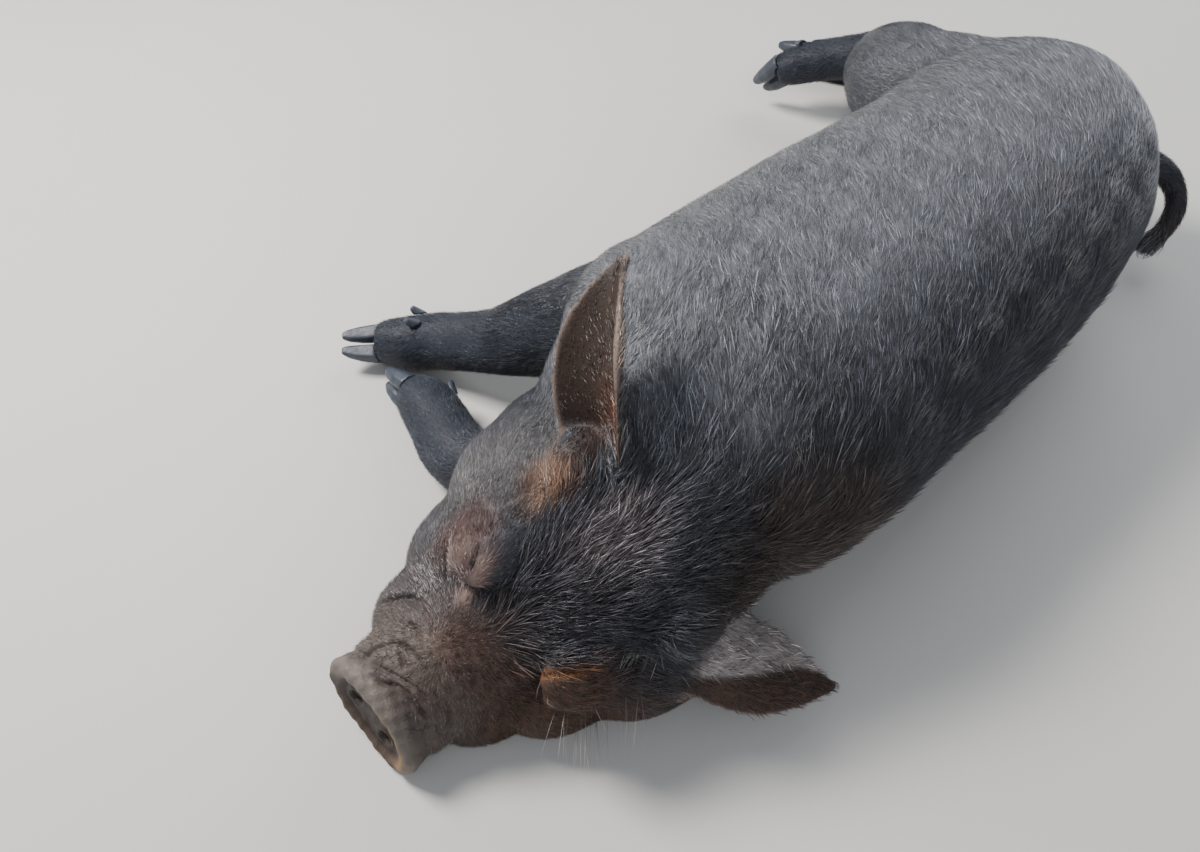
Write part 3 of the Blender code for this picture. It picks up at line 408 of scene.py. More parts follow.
@dataclass(frozen=True)
class Ear:
    """A cupped ear on a curve from its root through a middle point to its tip.

    The root is in the head's frame, the other points and the way it opens are in the tables' frame.
    """

    side: Side
    root: Vec
    middle: Vec
    tip: Vec
    opening: Vec
    roll: float
    width: float = 0.061
    wall: float = 0.0030
    reach: float = 0.075
    rows: int = 64
    columns: int = 40

    def axis(self, t: Array) -> Array:
        """Points of the ear's middle line at t from 0 at the root to 1 at the tip."""
        root = np.array(HEAD.matrix() @ Vector(self.root))
        middle = np.array(self.middle) + np.array(TO_FRAME)
        tip = np.array(self.tip) + np.array(TO_FRAME)
        bend = 2 * middle - (root + tip) / 2
        t = np.asarray(t, dtype=float)[..., None]
        return root * (1 - t) ** 2 + bend * 2 * t * (1 - t) + tip * t ** 2

    def front(self, t: Array) -> tuple[Array, Array, Array]:
        """The ways along the ear, out of its cup and across it, at t."""
        along = unit(self.axis(np.minimum(t + 0.05, 1.0)) - self.axis(np.maximum(t - 0.05, 0.0)))
        opening = np.array(self.opening)
        front = unit(opening - along * (along @ opening)[..., None])
        return along, front, np.cross(along, front)

    def spread(self, t: Array) -> tuple[Array, Array]:
        """The angle that the ear's wall turns through at t, and the radius of its cup."""
        swell = np.maximum(np.sin(np.pi * (0.30 + 0.70 * t)), 0.0) ** 1.3
        half = self.width / 2 * (0.08 + 0.92 * swell)
        turn = self.roll * (1 - t) ** 1.2 + t
        return turn, 2 * half / turn

    def close(self, points: Array) -> Array:
        """Which points are near enough to belong to the ear."""
        return np.linalg.norm(points - self.axis(np.array(0.5)), axis=1) < self.reach

    def told(self, points: Array) -> tuple[Array, Array, Array]:
        """Where points lie on the ear.

        Args:
            points: places in the frame.

        Returns:
            For each, its share of the way from root to tip, its share across from -0.5 to 0.5, and how
            far it is outside the middle of the wall, below zero on the cup's inner face.
        """
        t = np.linspace(0.0, 1.0, 60)
        centre = self.axis(t)
        _, front, across = self.front(t)
        turn, radius = self.spread(t)
        index = np.stack([dots(points - place, points - place) for place in centre]).argmin(axis=0)
        off = points - centre[index]
        sideways = dots(off, across[index])
        deep = radius[index] - dots(off, front[index])
        column = np.arctan2(sideways, deep) / turn[index]
        return t[index], column, np.hypot(sideways, deep) - radius[index]

    def build(self, bm: BMesh) -> None:
        """Add the ear as a closed wall.

        Args:
            bm: the mesh under way.
        """
        t = np.linspace(0.0, 1.0, self.rows)
        centre = self.axis(t)
        _, front, across = self.front(t)
        turn, radius = self.spread(t)
        layers = []
        for depth in (-self.wall / 2, self.wall / 2):
            grid = []
            for column in np.linspace(-0.5, 0.5, self.columns):
                angle = turn * column
                edge = np.clip((0.5 - abs(column)) / 0.06, 0.25, 1.0)
                radial = (radius + depth * edge)[:, None]
                sine, cosine = np.sin(angle)[:, None], np.cos(angle)[:, None]
                point = centre + front * radius[:, None] + across * radial * sine - front * radial * cosine
                grid.append([bm.verts.new(p) for p in point])
            layers.append(grid)
        inner, outer = layers
        last = self.columns - 1
        for column in range(last):
            for row in range(self.rows - 1):
                for grid, flip in ((outer, False), (inner, True)):
                    face = [grid[column][row], grid[column + 1][row], grid[column + 1][row + 1],
                            grid[column][row + 1]]
                    bm.faces.new(reversed(face) if flip else face)
            for row in (0, self.rows - 1):
                bm.faces.new((outer[column][row], inner[column][row], inner[column + 1][row],
                              outer[column + 1][row]))
        for row in range(self.rows - 1):
            for column in (0, last):
                bm.faces.new((outer[column][row], outer[column][row + 1], inner[column][row + 1],
                              inner[column][row]))


EAR_RIGHT = Ear(Side.RIGHT, *mm((-3, -33.5, -21.5), (147, 38.4, 180), (174, 52, 212)),
                (-0.95, 0.106, 0.36), 2.5)
EAR_LEFT = Ear(Side.LEFT, *mm((18, 50.5, -22.5), (155.2, -86.1, 37.3), (187, -106, 13)),
               (0.25, 0.55, -0.80), 2.4)
EARS = (EAR_RIGHT, EAR_LEFT)


def along_ears(start: float, count: int = 12) -> Array:
    """Places on the middle lines of both ears, from a share of the way up to their tips."""
    return np.vstack([ear.axis(np.linspace(start, 1.0, count)) for ear in EARS])


@dataclass(frozen=True)
class Wattle:
    """A small bulb of skin that hangs from the throat."""

    under_jaw: tuple[float, float]
    lie: Vec
    length: float = 0.028
    radius: float = 0.0060

    def build(self, bm: BMesh, tree: BVHTree) -> None:
        """Add the wattle where a line up from under the jaw meets the skin.

        Args:
            bm: the mesh under way.
            tree: the skin of the throat.
        """
        frame = HEAD.matrix()
        upward = (frame.to_3x3() @ Vector((0, 0, 1))).normalized()
        root = tree.ray_cast(frame @ Vector((*self.under_jaw, -0.30)), upward)[0]
        lie = Vector(self.lie).normalized()
        rows = []
        for t, swell in ((-0.35, 0.75), (0.0, 0.72), (0.3, 0.70), (0.6, 0.95), (0.85, 0.85), (1.0, 0.30)):
            half = self.radius * swell
            rows.append((*(root + lie * self.length * t - TO_FRAME), half, half))
        Limb(tuple(rows), (1.0, 0.1, 0.0), sides=20, steps=5).build(bm)


WATTLES = (Wattle((0.040, -0.036), (0.05, 0.62, -0.78)), Wattle((0.046, 0.004), (-0.10, 0.99, -0.08)))


def linked(name: str, data: ID) -> Object:
    """A new object with the given data, linked to the scene."""
    obj = bpy.data.objects.new(name, data)
    bpy.context.scene.collection.objects.link(obj)
    return obj


def mesh_object(name: str, bm: BMesh) -> Object:
    """A new object in the scene with the given mesh, which is freed."""
    bmesh.ops.recalc_face_normals(bm, faces=bm.faces)
    mesh = bpy.data.meshes.new(name)
    bm.to_mesh(mesh)
    bm.free()
    return linked(name, mesh)


def wear(obj: Object, finish: Material) -> None:
    """Give the object one finish in place of any others."""
    obj.data.materials.clear()
    obj.data.materials.append(finish)


def settle(obj: Object) -> None:
    """Put the object's modified mesh in place of its own."""
    mesh = bpy.data.meshes.new_from_object(obj.evaluated_get(bpy.context.evaluated_depsgraph_get()))
    obj.modifiers.clear()
    obj.data = mesh


def fuse(obj: Object, cell: float) -> None:
    """Make one closed, even mesh of all that the object's mesh holds."""
    remesh = obj.modifiers.new("fuse", "REMESH")
    remesh.mode = "VOXEL"
    remesh.voxel_size = cell
    settle(obj)


def thin_out(obj: Object, share: float, group: str = "") -> None:
    """Keep a share of the faces, only among a group of the points if one is named."""
    thin = obj.modifiers.new("thin", "DECIMATE")
    thin.ratio = share
    thin.vertex_group = group
    settle(obj)


def read(items: bpy.types.bpy_prop_collection, name: str, width: int, kind: type = np.float32) -> Array:
    """Read one property of every item.

    Args:
        items: the items, such as a mesh's vertices.
        name: the property.
        width: how many numbers it has.
        kind: the type of the numbers.

    Returns:
        One row for each item.
    """
    values = np.empty(len(items) * width, dtype=kind)
    items.foreach_get(name, values)
    return values.reshape(-1, width)


def write(items: bpy.types.bpy_prop_collection, name: str, values: Array, kind: type = np.float32) -> None:
    """Give every item its row of values for one property."""
    items.foreach_set(name, values.astype(kind).ravel())


def places(mesh: Mesh) -> Array:
    """The mesh's points as an array."""
    return read(mesh.vertices, "co", 3).astype(float)


def move_to(mesh: Mesh, points: Array) -> None:
    """Put the mesh's points at the given places."""
    write(mesh.vertices, "co", points)
    mesh.update()


def normals_of(mesh: Mesh) -> Array:
    """The mesh's point normals as an array."""
    return read(mesh.vertex_normals, "vector", 3).astype(float)


def relax(mesh: Mesh, weight: Array, rounds: int) -> None:
    """Smooth the mesh.

    Args:
        mesh: the mesh.
        weight: how far each point moves to the middle of its neighbours, from 0 to 1.
        rounds: how many times.
    """
    first, second = read(mesh.edges, "vertices", 2, np.int32).T
    points = places(mesh)
    count = len(points)
    ends = np.bincount(first, minlength=count) + np.bincount(second, minlength=count)
    for _ in range(rounds):
        for axis in range(3):
            values = points[:, axis]
            total = sum(np.bincount(one, weights=values[other], minlength=count)
                        for one, other in ((first, second), (second, first)))
            points[:, axis] = values + weight * (total / ends - values)
    move_to(mesh, points)


def off_line(points: Array, route: Array) -> tuple[Array, Array]:
    """How far points are off a line.

    Args:
        points: the places.
        route: the line's points.

    Returns:
        The gap of each place to the line, and how far along the line it is, from 0 to 1.
    """
    nearest = np.full(len(points), 1.0)
    along = np.zeros(len(points))
    for index, (start, end) in enumerate(zip(route, route[1:])):
        step = end - start
        t = np.clip((points - start) @ step / max(step @ step, 1e-12), 0, 1)
        gap = np.linalg.norm(points - start - t[:, None] * step, axis=1)
        closer = gap < nearest
        nearest = np.where(closer, gap, nearest)
        along = np.where(closer, (index + t) / (len(route) - 1), along)
    return nearest, along


@dataclass(frozen=True)
class Fold:
    """A crease, or a roll of skin where height is above zero, along a line in the head's frame."""

    line: tuple[Row, ...]
    width: float
    height: float

    def route(self) -> Array:
        """The line, made smooth."""
        points = np.array(self.line)
        return points if len(points) < 3 else smooth_line(points, 5, 1.0)

    def raise_by(self, told: Array) -> Array:
        """How far the fold moves each point out along the skin's normal.

        Args:
            told: places in the head's frame.

        Returns:
            The distance for each place.
        """
        route = self.route()
        reach = 3 * self.width
        close = np.all((told > route.min(axis=0) - reach) & (told < route.max(axis=0) + reach), axis=1)
        result = np.zeros(len(told))
        nearest, along = off_line(told[close], route)
        taper = ease(-0.10, 0.22, along) * ease(1.10, 0.78, along)
        result[close] = self.height * taper * np.exp(-(nearest / self.width) ** 2)
        return result

    def mirrored(self) -> Fold:
        """The same fold on the other side of the head."""
        return Fold(tuple((x, -y, z) for x, y, z in self.line), self.width, self.height)


def folds(*table: tuple) -> tuple[Fold, ...]:
    """Folds from rows in millimetres: the width, the height and the places of the line."""
    return tuple(Fold(mm(*line), *mm((width, height))[0]) for width, height, *line in table)


# Folds that both sides of the face have, told for the left
PAIRED_FOLDS = folds(
    (1.6, -3, (150, 0, -84), (142, 20, -84), (122, 46, -80), (100, 62, -72), (84, 68, -62)),
    (1.7, -1.6, (98, 30, -40), (91, 41.5, -34.7), (83.6, 51.3, -32.7), (75, 57.1, -33.7),
     (66.5, 56.8, -27.6), (58.2, 49.6, -20)),
    (2.2, -1, (106, 30, -44), (101, 43, -45), (90, 58, -43), (76, 64, -41)),
    (3.4, 1.5, (68.4, 38.1, -8.7), (79, 30.2, -9.7), (91.4, 24.8, -29.1), (101.7, 22.8, -31.9)),
)
# The slit of the right eye, the left one's closed lids, and a line above those
LID_FOLDS = folds(
    (1, -2, (68, -44.5, -13.5), (74.4, -39.4, -9.8), (80, -35.3, -10.3), (85, -32, -18)),
    (3.4, 1.4, (64, 44, -9), (75, 36.5, -11.8), (85, 30, -14.5)),
    (5, -2.2, (92, 33, -25), (89, 27, -19), (88, 21, -15)),
    (1.1, -1.6, (95, 20, -29), (77.1, 27.6, -9.4), (60, 36.2, -7.8)),
)
# The creases of the snout that the photo shows on its right and its top
SNOUT_FOLDS = folds(
    (1.1, -2.2, (151.6, -17.5, -38), (148, -11.2, -36), (142.9, -5.6, -34.9), (141.4, 2.5, -34.4),
     (141.3, 13.1, -36.3), (140, 22, -41)),
    (1, -1.9, (149, -23, -40.5), (143.2, -14.1, -36.8), (139.3, -6.6, -34.6), (136.6, 0.9, -33.3),
     (135, 9, -34)),
    (1.2, -2.3, (133.3, -25.6, -41.8), (134.6, -18.4, -37.7), (136.2, -11.3, -35.2)),
    (1.5, -2.8, (153, -31, -50), (150.4, -28.1, -45.1), (144, -27.9, -44.5), (134, -24.4, -40.9),
     (129, -15, -36), (128, -2, -33)),
    (2.1, -3.3, (136.6, -44.5, -65.6), (126.9, -42.8, -55.9), (119.2, -39.9, -52),
     (113.5, -33.4, -43.9), (113, -24, -37), (118, -16, -33)),
    (4.5, 2.5, (130, -38, -52), (123, -34, -47), (121, -27, -41)),
    (1.6, -2.5, (125, -29.9, -43.9), (122.6, -23.4, -38.7), (124, -16, -35)),
    (1.3, -1.9, (139, 25, -44), (133, 21.8, -39.5), (129, 12, -35)),
    (2, -2.3, (130, 41, -60), (123, 37, -50), (116, 28, -40)),
)
FOLDS = (*PAIRED_FOLDS, *(fold.mirrored() for fold in PAIRED_FOLDS), *LID_FOLDS, *SNOUT_FOLDS)


@dataclass(frozen=True)
class Spot:
    """A soft-edged patch of colour: a marking, painted highlight or painted shade.

    The middle is in the head's frame if in_head, otherwise in the frame of the solids. A ring leaves
    its middle out.
    """

    middle: Vec
    half: Vec
    colour: Colour
    strength: float = 1.0
    in_head: bool = True
    ring: bool = False

    def share(self, points: Array, told: Array) -> Array:
        """How much of the spot's colour each point takes.

        Args:
            points: places in the frame.
            told: the same places in the head's frame.

        Returns:
            A share from 0 to 1 for each.
        """
        off = (told if self.in_head else points) - np.array(self.middle)
        reach = np.linalg.norm(off / np.array(self.half), axis=1)
        share = 1 - ease(0.45, 1.15, reach)
        if self.ring:
            share = share * ease(0.20, 0.60, reach)
        return self.strength * share


@dataclass(frozen=True)
class Streak:
    """A marking, or a painted highlight, along a line in the head's frame."""

    line: tuple[Row, ...]
    width: float
    colour: Colour
    strength: float = 1.0

    def share(self, _points: Array, told: Array) -> Array:
        """How much of the streak's colour each point takes, by its place in the head's frame."""
        gap, along = off_line(told, np.array(self.line))
        ends = ease(-0.05, 0.15, along) * ease(1.05, 0.85, along)
        return self.strength * ends * np.exp(-(gap / self.width) ** 2)


@dataclass(frozen=True)
class EarColours:
    """The colours of an ear: inside, outside, along its rim, and the glow where light shines through it,
    painted; on the left ear that last colour is painted shade.
    """

    inner: Colour
    outer: Colour
    rim: Colour
    painted_glow_and_shade: Colour


# The right ear's dark brown inside is painted darker still as shade, and its glow is painted light shining
# through the ear; the left ear's pale grey outside is painted light where it faces the light, and its last
# colour is the painted shade of its lower strip
EAR_COLOURS = {
    Side.RIGHT: EarColours((0.030, 0.018, 0.014), (0.050, 0.046, 0.047), (0.200, 0.150, 0.125),
                           (0.085, 0.028, 0.011)),
    Side.LEFT: EarColours((0.070, 0.040, 0.026), (0.300, 0.268, 0.258), (0.250, 0.205, 0.185),
                          (0.050, 0.026, 0.017)),
}


# The marks of the face, then those of neck, foot and rump; some of them stand for painted highlight and
# shade, as noted
SPOTS: tuple[Spot | Streak, ...] = (
    Spot(*mm((45, -62, -60), (65, 28, 55)), (0.105, 0.098, 0.100), 0.80),
    Spot(*mm((112, 4, -35), (40, 36, 32)), (0.072, 0.040, 0.029), 0.85),
    Spot(*mm((50, 0, -10), (50, 30, 30)), (0.048, 0.040, 0.043), 0.60),
    # Pale crown patch: partly pale bristle tips, partly a painted highlight where they catch the light
    Spot(*mm((24, -7, 0), (34, 20, 20)), (0.120, 0.105, 0.110), 0.85),
    # Dark brown left cheek: partly brown coat, partly painted shade where the cheek lies in shadow towards
    # the floor
    Spot(*mm((85, 52, -60), (80, 40, 50)), (0.058, 0.028, 0.016), 0.90),
    Spot(*mm((78, 41, -20), (30, 20, 22)), (0.074, 0.035, 0.019), 0.90),
    Spot(*mm((80, -46, -24), (30, 24, 24)), (0.075, 0.038, 0.031), 0.80),
    Spot(*mm((80, -44, -20), (10, 8, 10)), (0.120, 0.080, 0.068), 0.75),
    # Pale streak along the ridge of the right brow fold: partly pale skin, partly a painted highlight on the
    # fold
    Streak(mm((68.4, -35, -8.7), (79, -28.5, -9.7), (91.4, -24, -29.1), (99, -23, -31.5)),
           0.0038, (0.230, 0.155, 0.135), 0.90),
    Spot(*mm((29, -45, -14.5), (22, 19, 17)), (0.150, 0.083, 0.050), 0.80),
    # Painted shade at the right ear's base, standing in for the shaded opening of the ear
    Spot(*mm((4, -50, -7), (15, 13, 13)), (0.030, 0.017, 0.013), 0.90),
    Streak(mm((95, 20, -29), (77.1, 27.6, -9.4), (60, 36.2, -7.8)), 0.0026, (0.200, 0.078, 0.020), 0.95),
    Spot(*mm((120, -36, -50), (40, 28, 30)), (0.085, 0.066, 0.060), 0.6),
    # Brown on the neck's lower side: partly brown coat, partly painted shade where the neck lies in shadow
    Spot(*mm((-150, -190, 90), (80, 55, 55)), (0.060, 0.034, 0.019), 0.60, False),
    Spot(*mm((-176.1, 98.3, 27.4), (4, 6, 10)), (0.260, 0.200, 0.150), 0.9, False),
    Spot(*mm((100, -140.4, 162.8), (14, 11, 14)), (0.100, 0.078, 0.074), 0.55, False, True),
)


@dataclass
class MarkingsAndPaintedLight:
    """The colours of hide and coat by place: markings, and painted sheen, glow and shade."""

    slate: Colour = (0.036, 0.039, 0.048)
    # Painted sheen: the silver grey that the top of the trunk takes where light falls on its coat
    painted_sheen_silver: Colour = (0.125, 0.131, 0.148)
    leg_blue: Colour = (0.019, 0.024, 0.035)
    chestnut: Colour = (0.080, 0.042, 0.022)
    rim_grey: Colour = (0.150, 0.125, 0.108)
    rim_tan: Colour = (0.230, 0.130, 0.045)
    rim_brown: Colour = (0.060, 0.038, 0.024)
    face_brown: Colour = (0.022, 0.014, 0.010)
    snout_grey: Colour = (0.092, 0.072, 0.062)

    def tint(self, points: Array, normals: Array) -> Array:
        """The colour of each point.

        Args:
            points: places in the frame.
            normals: the skin's normals there.

        Returns:
            One row of red, green and blue for each point.
        """
        told = HEAD.inward(points)
        colour = np.tile(np.array(self.slate), (len(points), 1))
        # Painted sheen: the top of the trunk is moved towards silver grey, standing in for the light on its
        # coat
        high = ease(0.075, 0.155, points[:, 2]) * ease(-0.175, -0.115, points[:, 1])
        colour = mixed(colour, self.painted_sheen_silver, 0.9 * high * ease(-0.235, -0.175, points[:, 0]))
        low = (1 - ease(0.004, 0.070, points[:, 2])) * (1 - ease(-0.02, 0.03, points[:, 1]))
        colour = mixed(colour, self.chestnut, 0.55 * low)
        colour = mixed(colour, self.leg_blue, 0.85 * self._on_feet(points))
        for spot in SPOTS:
            colour = mixed(colour, spot.colour, spot.share(points, told))
        for ear in EARS:
            colour = self._ear(ear, points, colour)
        return self._snout(SNOUT.told(points), normals, colour)

    @staticmethod
    def _on_feet(points: Array) -> Array:
        """1 on the lower legs and feet, falling to 0 above them."""
        return near(points, np.vstack([leg.line(12, None, 3) for leg in LEGS]), 0.050, 0.52)

    @staticmethod
    def _ear(ear: Ear, points: Array, colour: Array) -> Array:
        """The colours of one ear, over the given ones, with a painted glow on the right ear and painted light
        and shade on the left.
        """
        close = ear.close(points)
        t, column, wall = ear.told(points[close])
        own = EAR_COLOURS[ear.side]
        on_ear = ease(0.06, 0.20, t) * (np.abs(wall) < 0.006) * (np.abs(column) < 0.60)
        inner = ease(0.0004, -0.0004, wall)
        edge = np.maximum(ease(0.39, 0.46, np.abs(column)), ease(0.95, 0.99, t))
        # On the left ear a lower strip of the outside takes the painted shade in place of the lit outer
        # colour
        low = ease(0.05, -0.05, column - 0.80 * t + 0.355) * (ear.side is Side.LEFT)
        part = mixed(colour[close], own.outer, on_ear * (1 - inner) * (1 - low))
        part = mixed(part, own.painted_glow_and_shade, on_ear * (1 - inner) * low)
        part = mixed(part, own.inner, on_ear * inner)
        # Painted glow near the root of the inside, where light shines through the ear; on the left ear this
        # is painted shade
        painted_glow_and_shade = ease(0.60, 0.12, t) * ease(-0.20, 0.36, column)
        part = mixed(part, own.painted_glow_and_shade, 0.85 * on_ear * inner * painted_glow_and_shade)
        part = mixed(part, own.rim, 0.85 * on_ear * edge)
        result = colour.copy()
        result[close] = part
        return result

    def _snout(self, disc: Array, normals: Array, colour: Array) -> Array:
        """The colours of the snout's top, rim and face, over the given ones."""
        across = disc[:, 1] / (SNOUT.width / 2)
        up = disc[:, 2] / (SNOUT.height / 2)
        reach = SNOUT.reach(disc)
        behind = ease(-0.042, -0.020, disc[:, 0]) * ease(-0.3, 0.5, up)
        colour = mixed(colour, self.snout_grey, 0.75 * behind * (reach < 1.9))
        facing = ease(0.45, 0.75, normals @ SNOUT.facing())
        front = ease(-0.004, 0.000, disc[:, 0])
        rim = front * ease(0.68, 0.84, reach)
        rim_colour = np.tile(np.array(self.rim_grey), (len(disc), 1))
        rim_colour = mixed(rim_colour, self.rim_brown, ease(0.05, -0.45, up))
        tan = ease(-0.35, 0.10, across) * ease(0.95, 0.84, reach) * ease(-0.45, 0.0, up)
        rim_colour = mixed(rim_colour, self.rim_tan, 0.85 * tan)
        face = ease(0.000, 0.002, disc[:, 0]) * np.maximum(facing, 0.6)
        face *= 1 - ease(0.62, 0.76, reach)
        colour = colour + (rim_colour - colour) * (0.9 * rim)[:, None]
        return mixed(colour, self.face_brown, 0.95 * face)


MARKINGS_AND_PAINTED_LIGHT = MarkingsAndPaintedLight()


class Shader:
    """A material under way."""

    def __init__(self, name: str) -> None:
        """Start the material."""
        self.material = bpy.data.materials.new(name)
        self.material.use_nodes = True
        self.nodes = self.material.node_tree.nodes

    def feed(self, node: Node, inputs: dict[str | int, object]) -> None:
        """Fill a node's inputs.

        Args:
            node: the node.
            inputs: for each input, the socket to link to it or its own value.
        """
        for key, value in inputs.items():
            if isinstance(value, NodeSocket):
                self.material.node_tree.links.new(value, node.inputs[key])
            else:
                node.inputs[key].default_value = value

    def add(self, kind: str, inputs: dict[str | int, object], output: str | int = 0,
            **settings: object) -> NodeSocket:
        """Add a node.

        Args:
            kind: its type.
            inputs: what its inputs are filled with.
            output: which of its outputs is wanted.
            settings: its other properties.

        Returns:
            The output.
        """
        node = self.nodes.new(f"ShaderNode{kind}")
        for key, value in settings.items():
            setattr(node, key, value)
        self.feed(node, inputs)
        return node.outputs[output]

    def place(self) -> NodeSocket:
        """The object's own coordinates."""
        return self.add("TexCoord", {}, "Object")

    def noise(self, scale: float, detail: float = 3.0, output: str = "Fac") -> NodeSocket:
        """Noise over the object's own coordinates."""
        inputs = {"Vector": self.place(), "Scale": scale, "Detail": detail, "Roughness": 0.55}
        return self.add("TexNoise", inputs, output)

    def rims(self, place: NodeSocket, scale: float) -> NodeSocket:
        """How far each place is from the rim of its cell in a net of cells."""
        return self.add("TexVoronoi", {"Vector": place, "Scale": scale}, feature="DISTANCE_TO_EDGE")

    def spread(self, value: NodeSocket, first: float, last: float,
               low: float = 0.0, high: float = 1.0) -> NodeSocket:
        """A value between low and high, spread from first to last."""
        return self.add("MapRange", {"Value": value, "From Min": low, "From Max": high,
                                     "To Min": first, "To Max": last})

    def product(self, one: NodeSocket, other: NodeSocket) -> NodeSocket:
        """One value times another."""
        return self.add("Math", {0: one, 1: other}, operation="MULTIPLY")

    def ramp(self, value: NodeSocket, dark: Colour, light: Colour) -> NodeSocket:
        """A colour between dark and light."""
        ramp = self.nodes.new("ShaderNodeValToRGB")
        for stop, colour in zip(ramp.color_ramp.elements, (dark, light)):
            stop.color = (*colour, 1.0)
        self.feed(ramp, {"Fac": value})
        return ramp.outputs["Color"]

    def tint(self, strength: NodeSocket) -> NodeSocket:
        """The mesh's own tint, made lighter or darker by a strength."""
        own = self.add("Attribute", {}, "Color", attribute_name="tint")
        return self.add("VectorMath", {0: own, "Scale": strength}, operation="SCALE")

    def bumps(self, *layers: tuple[NodeSocket, float, float]) -> NodeSocket:
        """Bumps over each other, each with its height, strength and distance."""
        below = {}
        for height, strength, distance in layers:
            below = {"Normal": self.add("Bump", {"Height": height, "Strength": strength, "Distance": distance,
                                                 **below})}
        return below["Normal"]

    def done(self, **inputs: object) -> Material:
        """The material, with the named inputs of its surface filled."""
        named = {key.replace("_", " "): value for key, value in inputs.items()}
        self.feed(self.nodes["Principled BSDF"], named)
        return self.material


@dataclass(frozen=True)
class HideFinish:
    """Dark, finely creased skin, with deeper cracks where the mesh says so."""

    name: str = "slate_hide"
    cell_scale: float = 420.0
    crack_scale: float = 165.0
    crack_width: float = 0.034
    warp: float = 0.010
    relief: float = 0.0010
    shine: float = 0.25

    def make(self) -> Material:
        """The material."""
        skin = Shader(self.name)
        cracks = self._cracks(skin)
        shade = skin.product(skin.spread(skin.noise(38.0), 0.50, 1.40), skin.spread(cracks, 1.0, 0.55))
        normal = skin.bumps((skin.rims(skin.place(), self.cell_scale), 0.25, self.relief),
                            (skin.noise(900.0, 4.0), 0.45, self.relief * 0.7),
                            (skin.spread(cracks, 1.0, 0.0), 0.7, self.relief))
        return skin.done(Base_Color=skin.tint(shade), Roughness=skin.spread(skin.noise(240.0), 0.40, 0.66),
                         Normal=normal, Specular_IOR_Level=self.shine)

    def _cracks(self, skin: Shader) -> NodeSocket:
        """A broken net of cracks, 1 in a crack, where the mesh's crack value allows them."""
        warped = {0: skin.noise(90.0, output="Color"), 1: (self.warp,) * 3, 2: skin.place()}
        place = skin.add("VectorMath", warped, operation="MULTIPLY_ADD")
        lines = skin.spread(skin.rims(place, self.crack_scale), 1.0, 0.0, 0.0, self.crack_width)
        allowed = skin.product(lines, skin.add("Attribute", {}, "Fac", attribute_name="crack"))
        return skin.product(allowed, skin.spread(skin.noise(120.0, 2.0), 0.0, 1.0, 0.44, 0.60))


@dataclass(frozen=True)
class CoatFinish:
    """Bristle with a cool shine along it."""

    name: str = "slate_coat"
    roughness: float = 0.33
    shine: float = 0.75

    def make(self) -> Material:
        """The material."""
        hair = Shader(self.name)
        return hair.done(Base_Color=hair.tint(hair.spread(hair.noise(30.0), 0.75, 1.25)),
                         Roughness=self.roughness, Specular_IOR_Level=self.shine)


@dataclass(frozen=True)
class HornFinish:
    """Slate-blue horn, slightly uneven in colour, shine and relief."""

    name: str = "slate_hoof"
    dark: Colour = (0.010, 0.014, 0.022)
    light: Colour = (0.060, 0.072, 0.098)
    relief: float = 0.0006

    def make(self) -> Material:
        """The material."""
        horn = Shader(self.name)
        return horn.done(Base_Color=horn.ramp(horn.noise(130.0, 4.0), self.dark, self.light),
                         Roughness=horn.spread(horn.noise(300.0), 0.30, 0.60),
                         Normal=horn.bumps((horn.noise(500.0, 4.0), 0.4, self.relief)))


@dataclass(frozen=True)
class EyeFinish:
    """The wet dark sliver of an eye."""

    name: str = "dark_eye"
    dark: Colour = (0.006, 0.004, 0.003)
    light: Colour = (0.030, 0.016, 0.010)
    roughness: float = 0.30

    def make(self) -> Material:
        """The material."""
        eye = Shader(self.name)
        return eye.done(Base_Color=eye.ramp(eye.noise(260.0), self.dark, self.light),
                        Roughness=self.roughness)


def set_tint(mesh: Mesh, colours: Array) -> None:
    """Keep a colour on each point of the mesh, under the name tint."""
    layer = mesh.color_attributes.new("tint", "FLOAT_COLOR", "POINT")
    write(layer.data, "color", np.column_stack([colours, np.ones(len(colours))]))


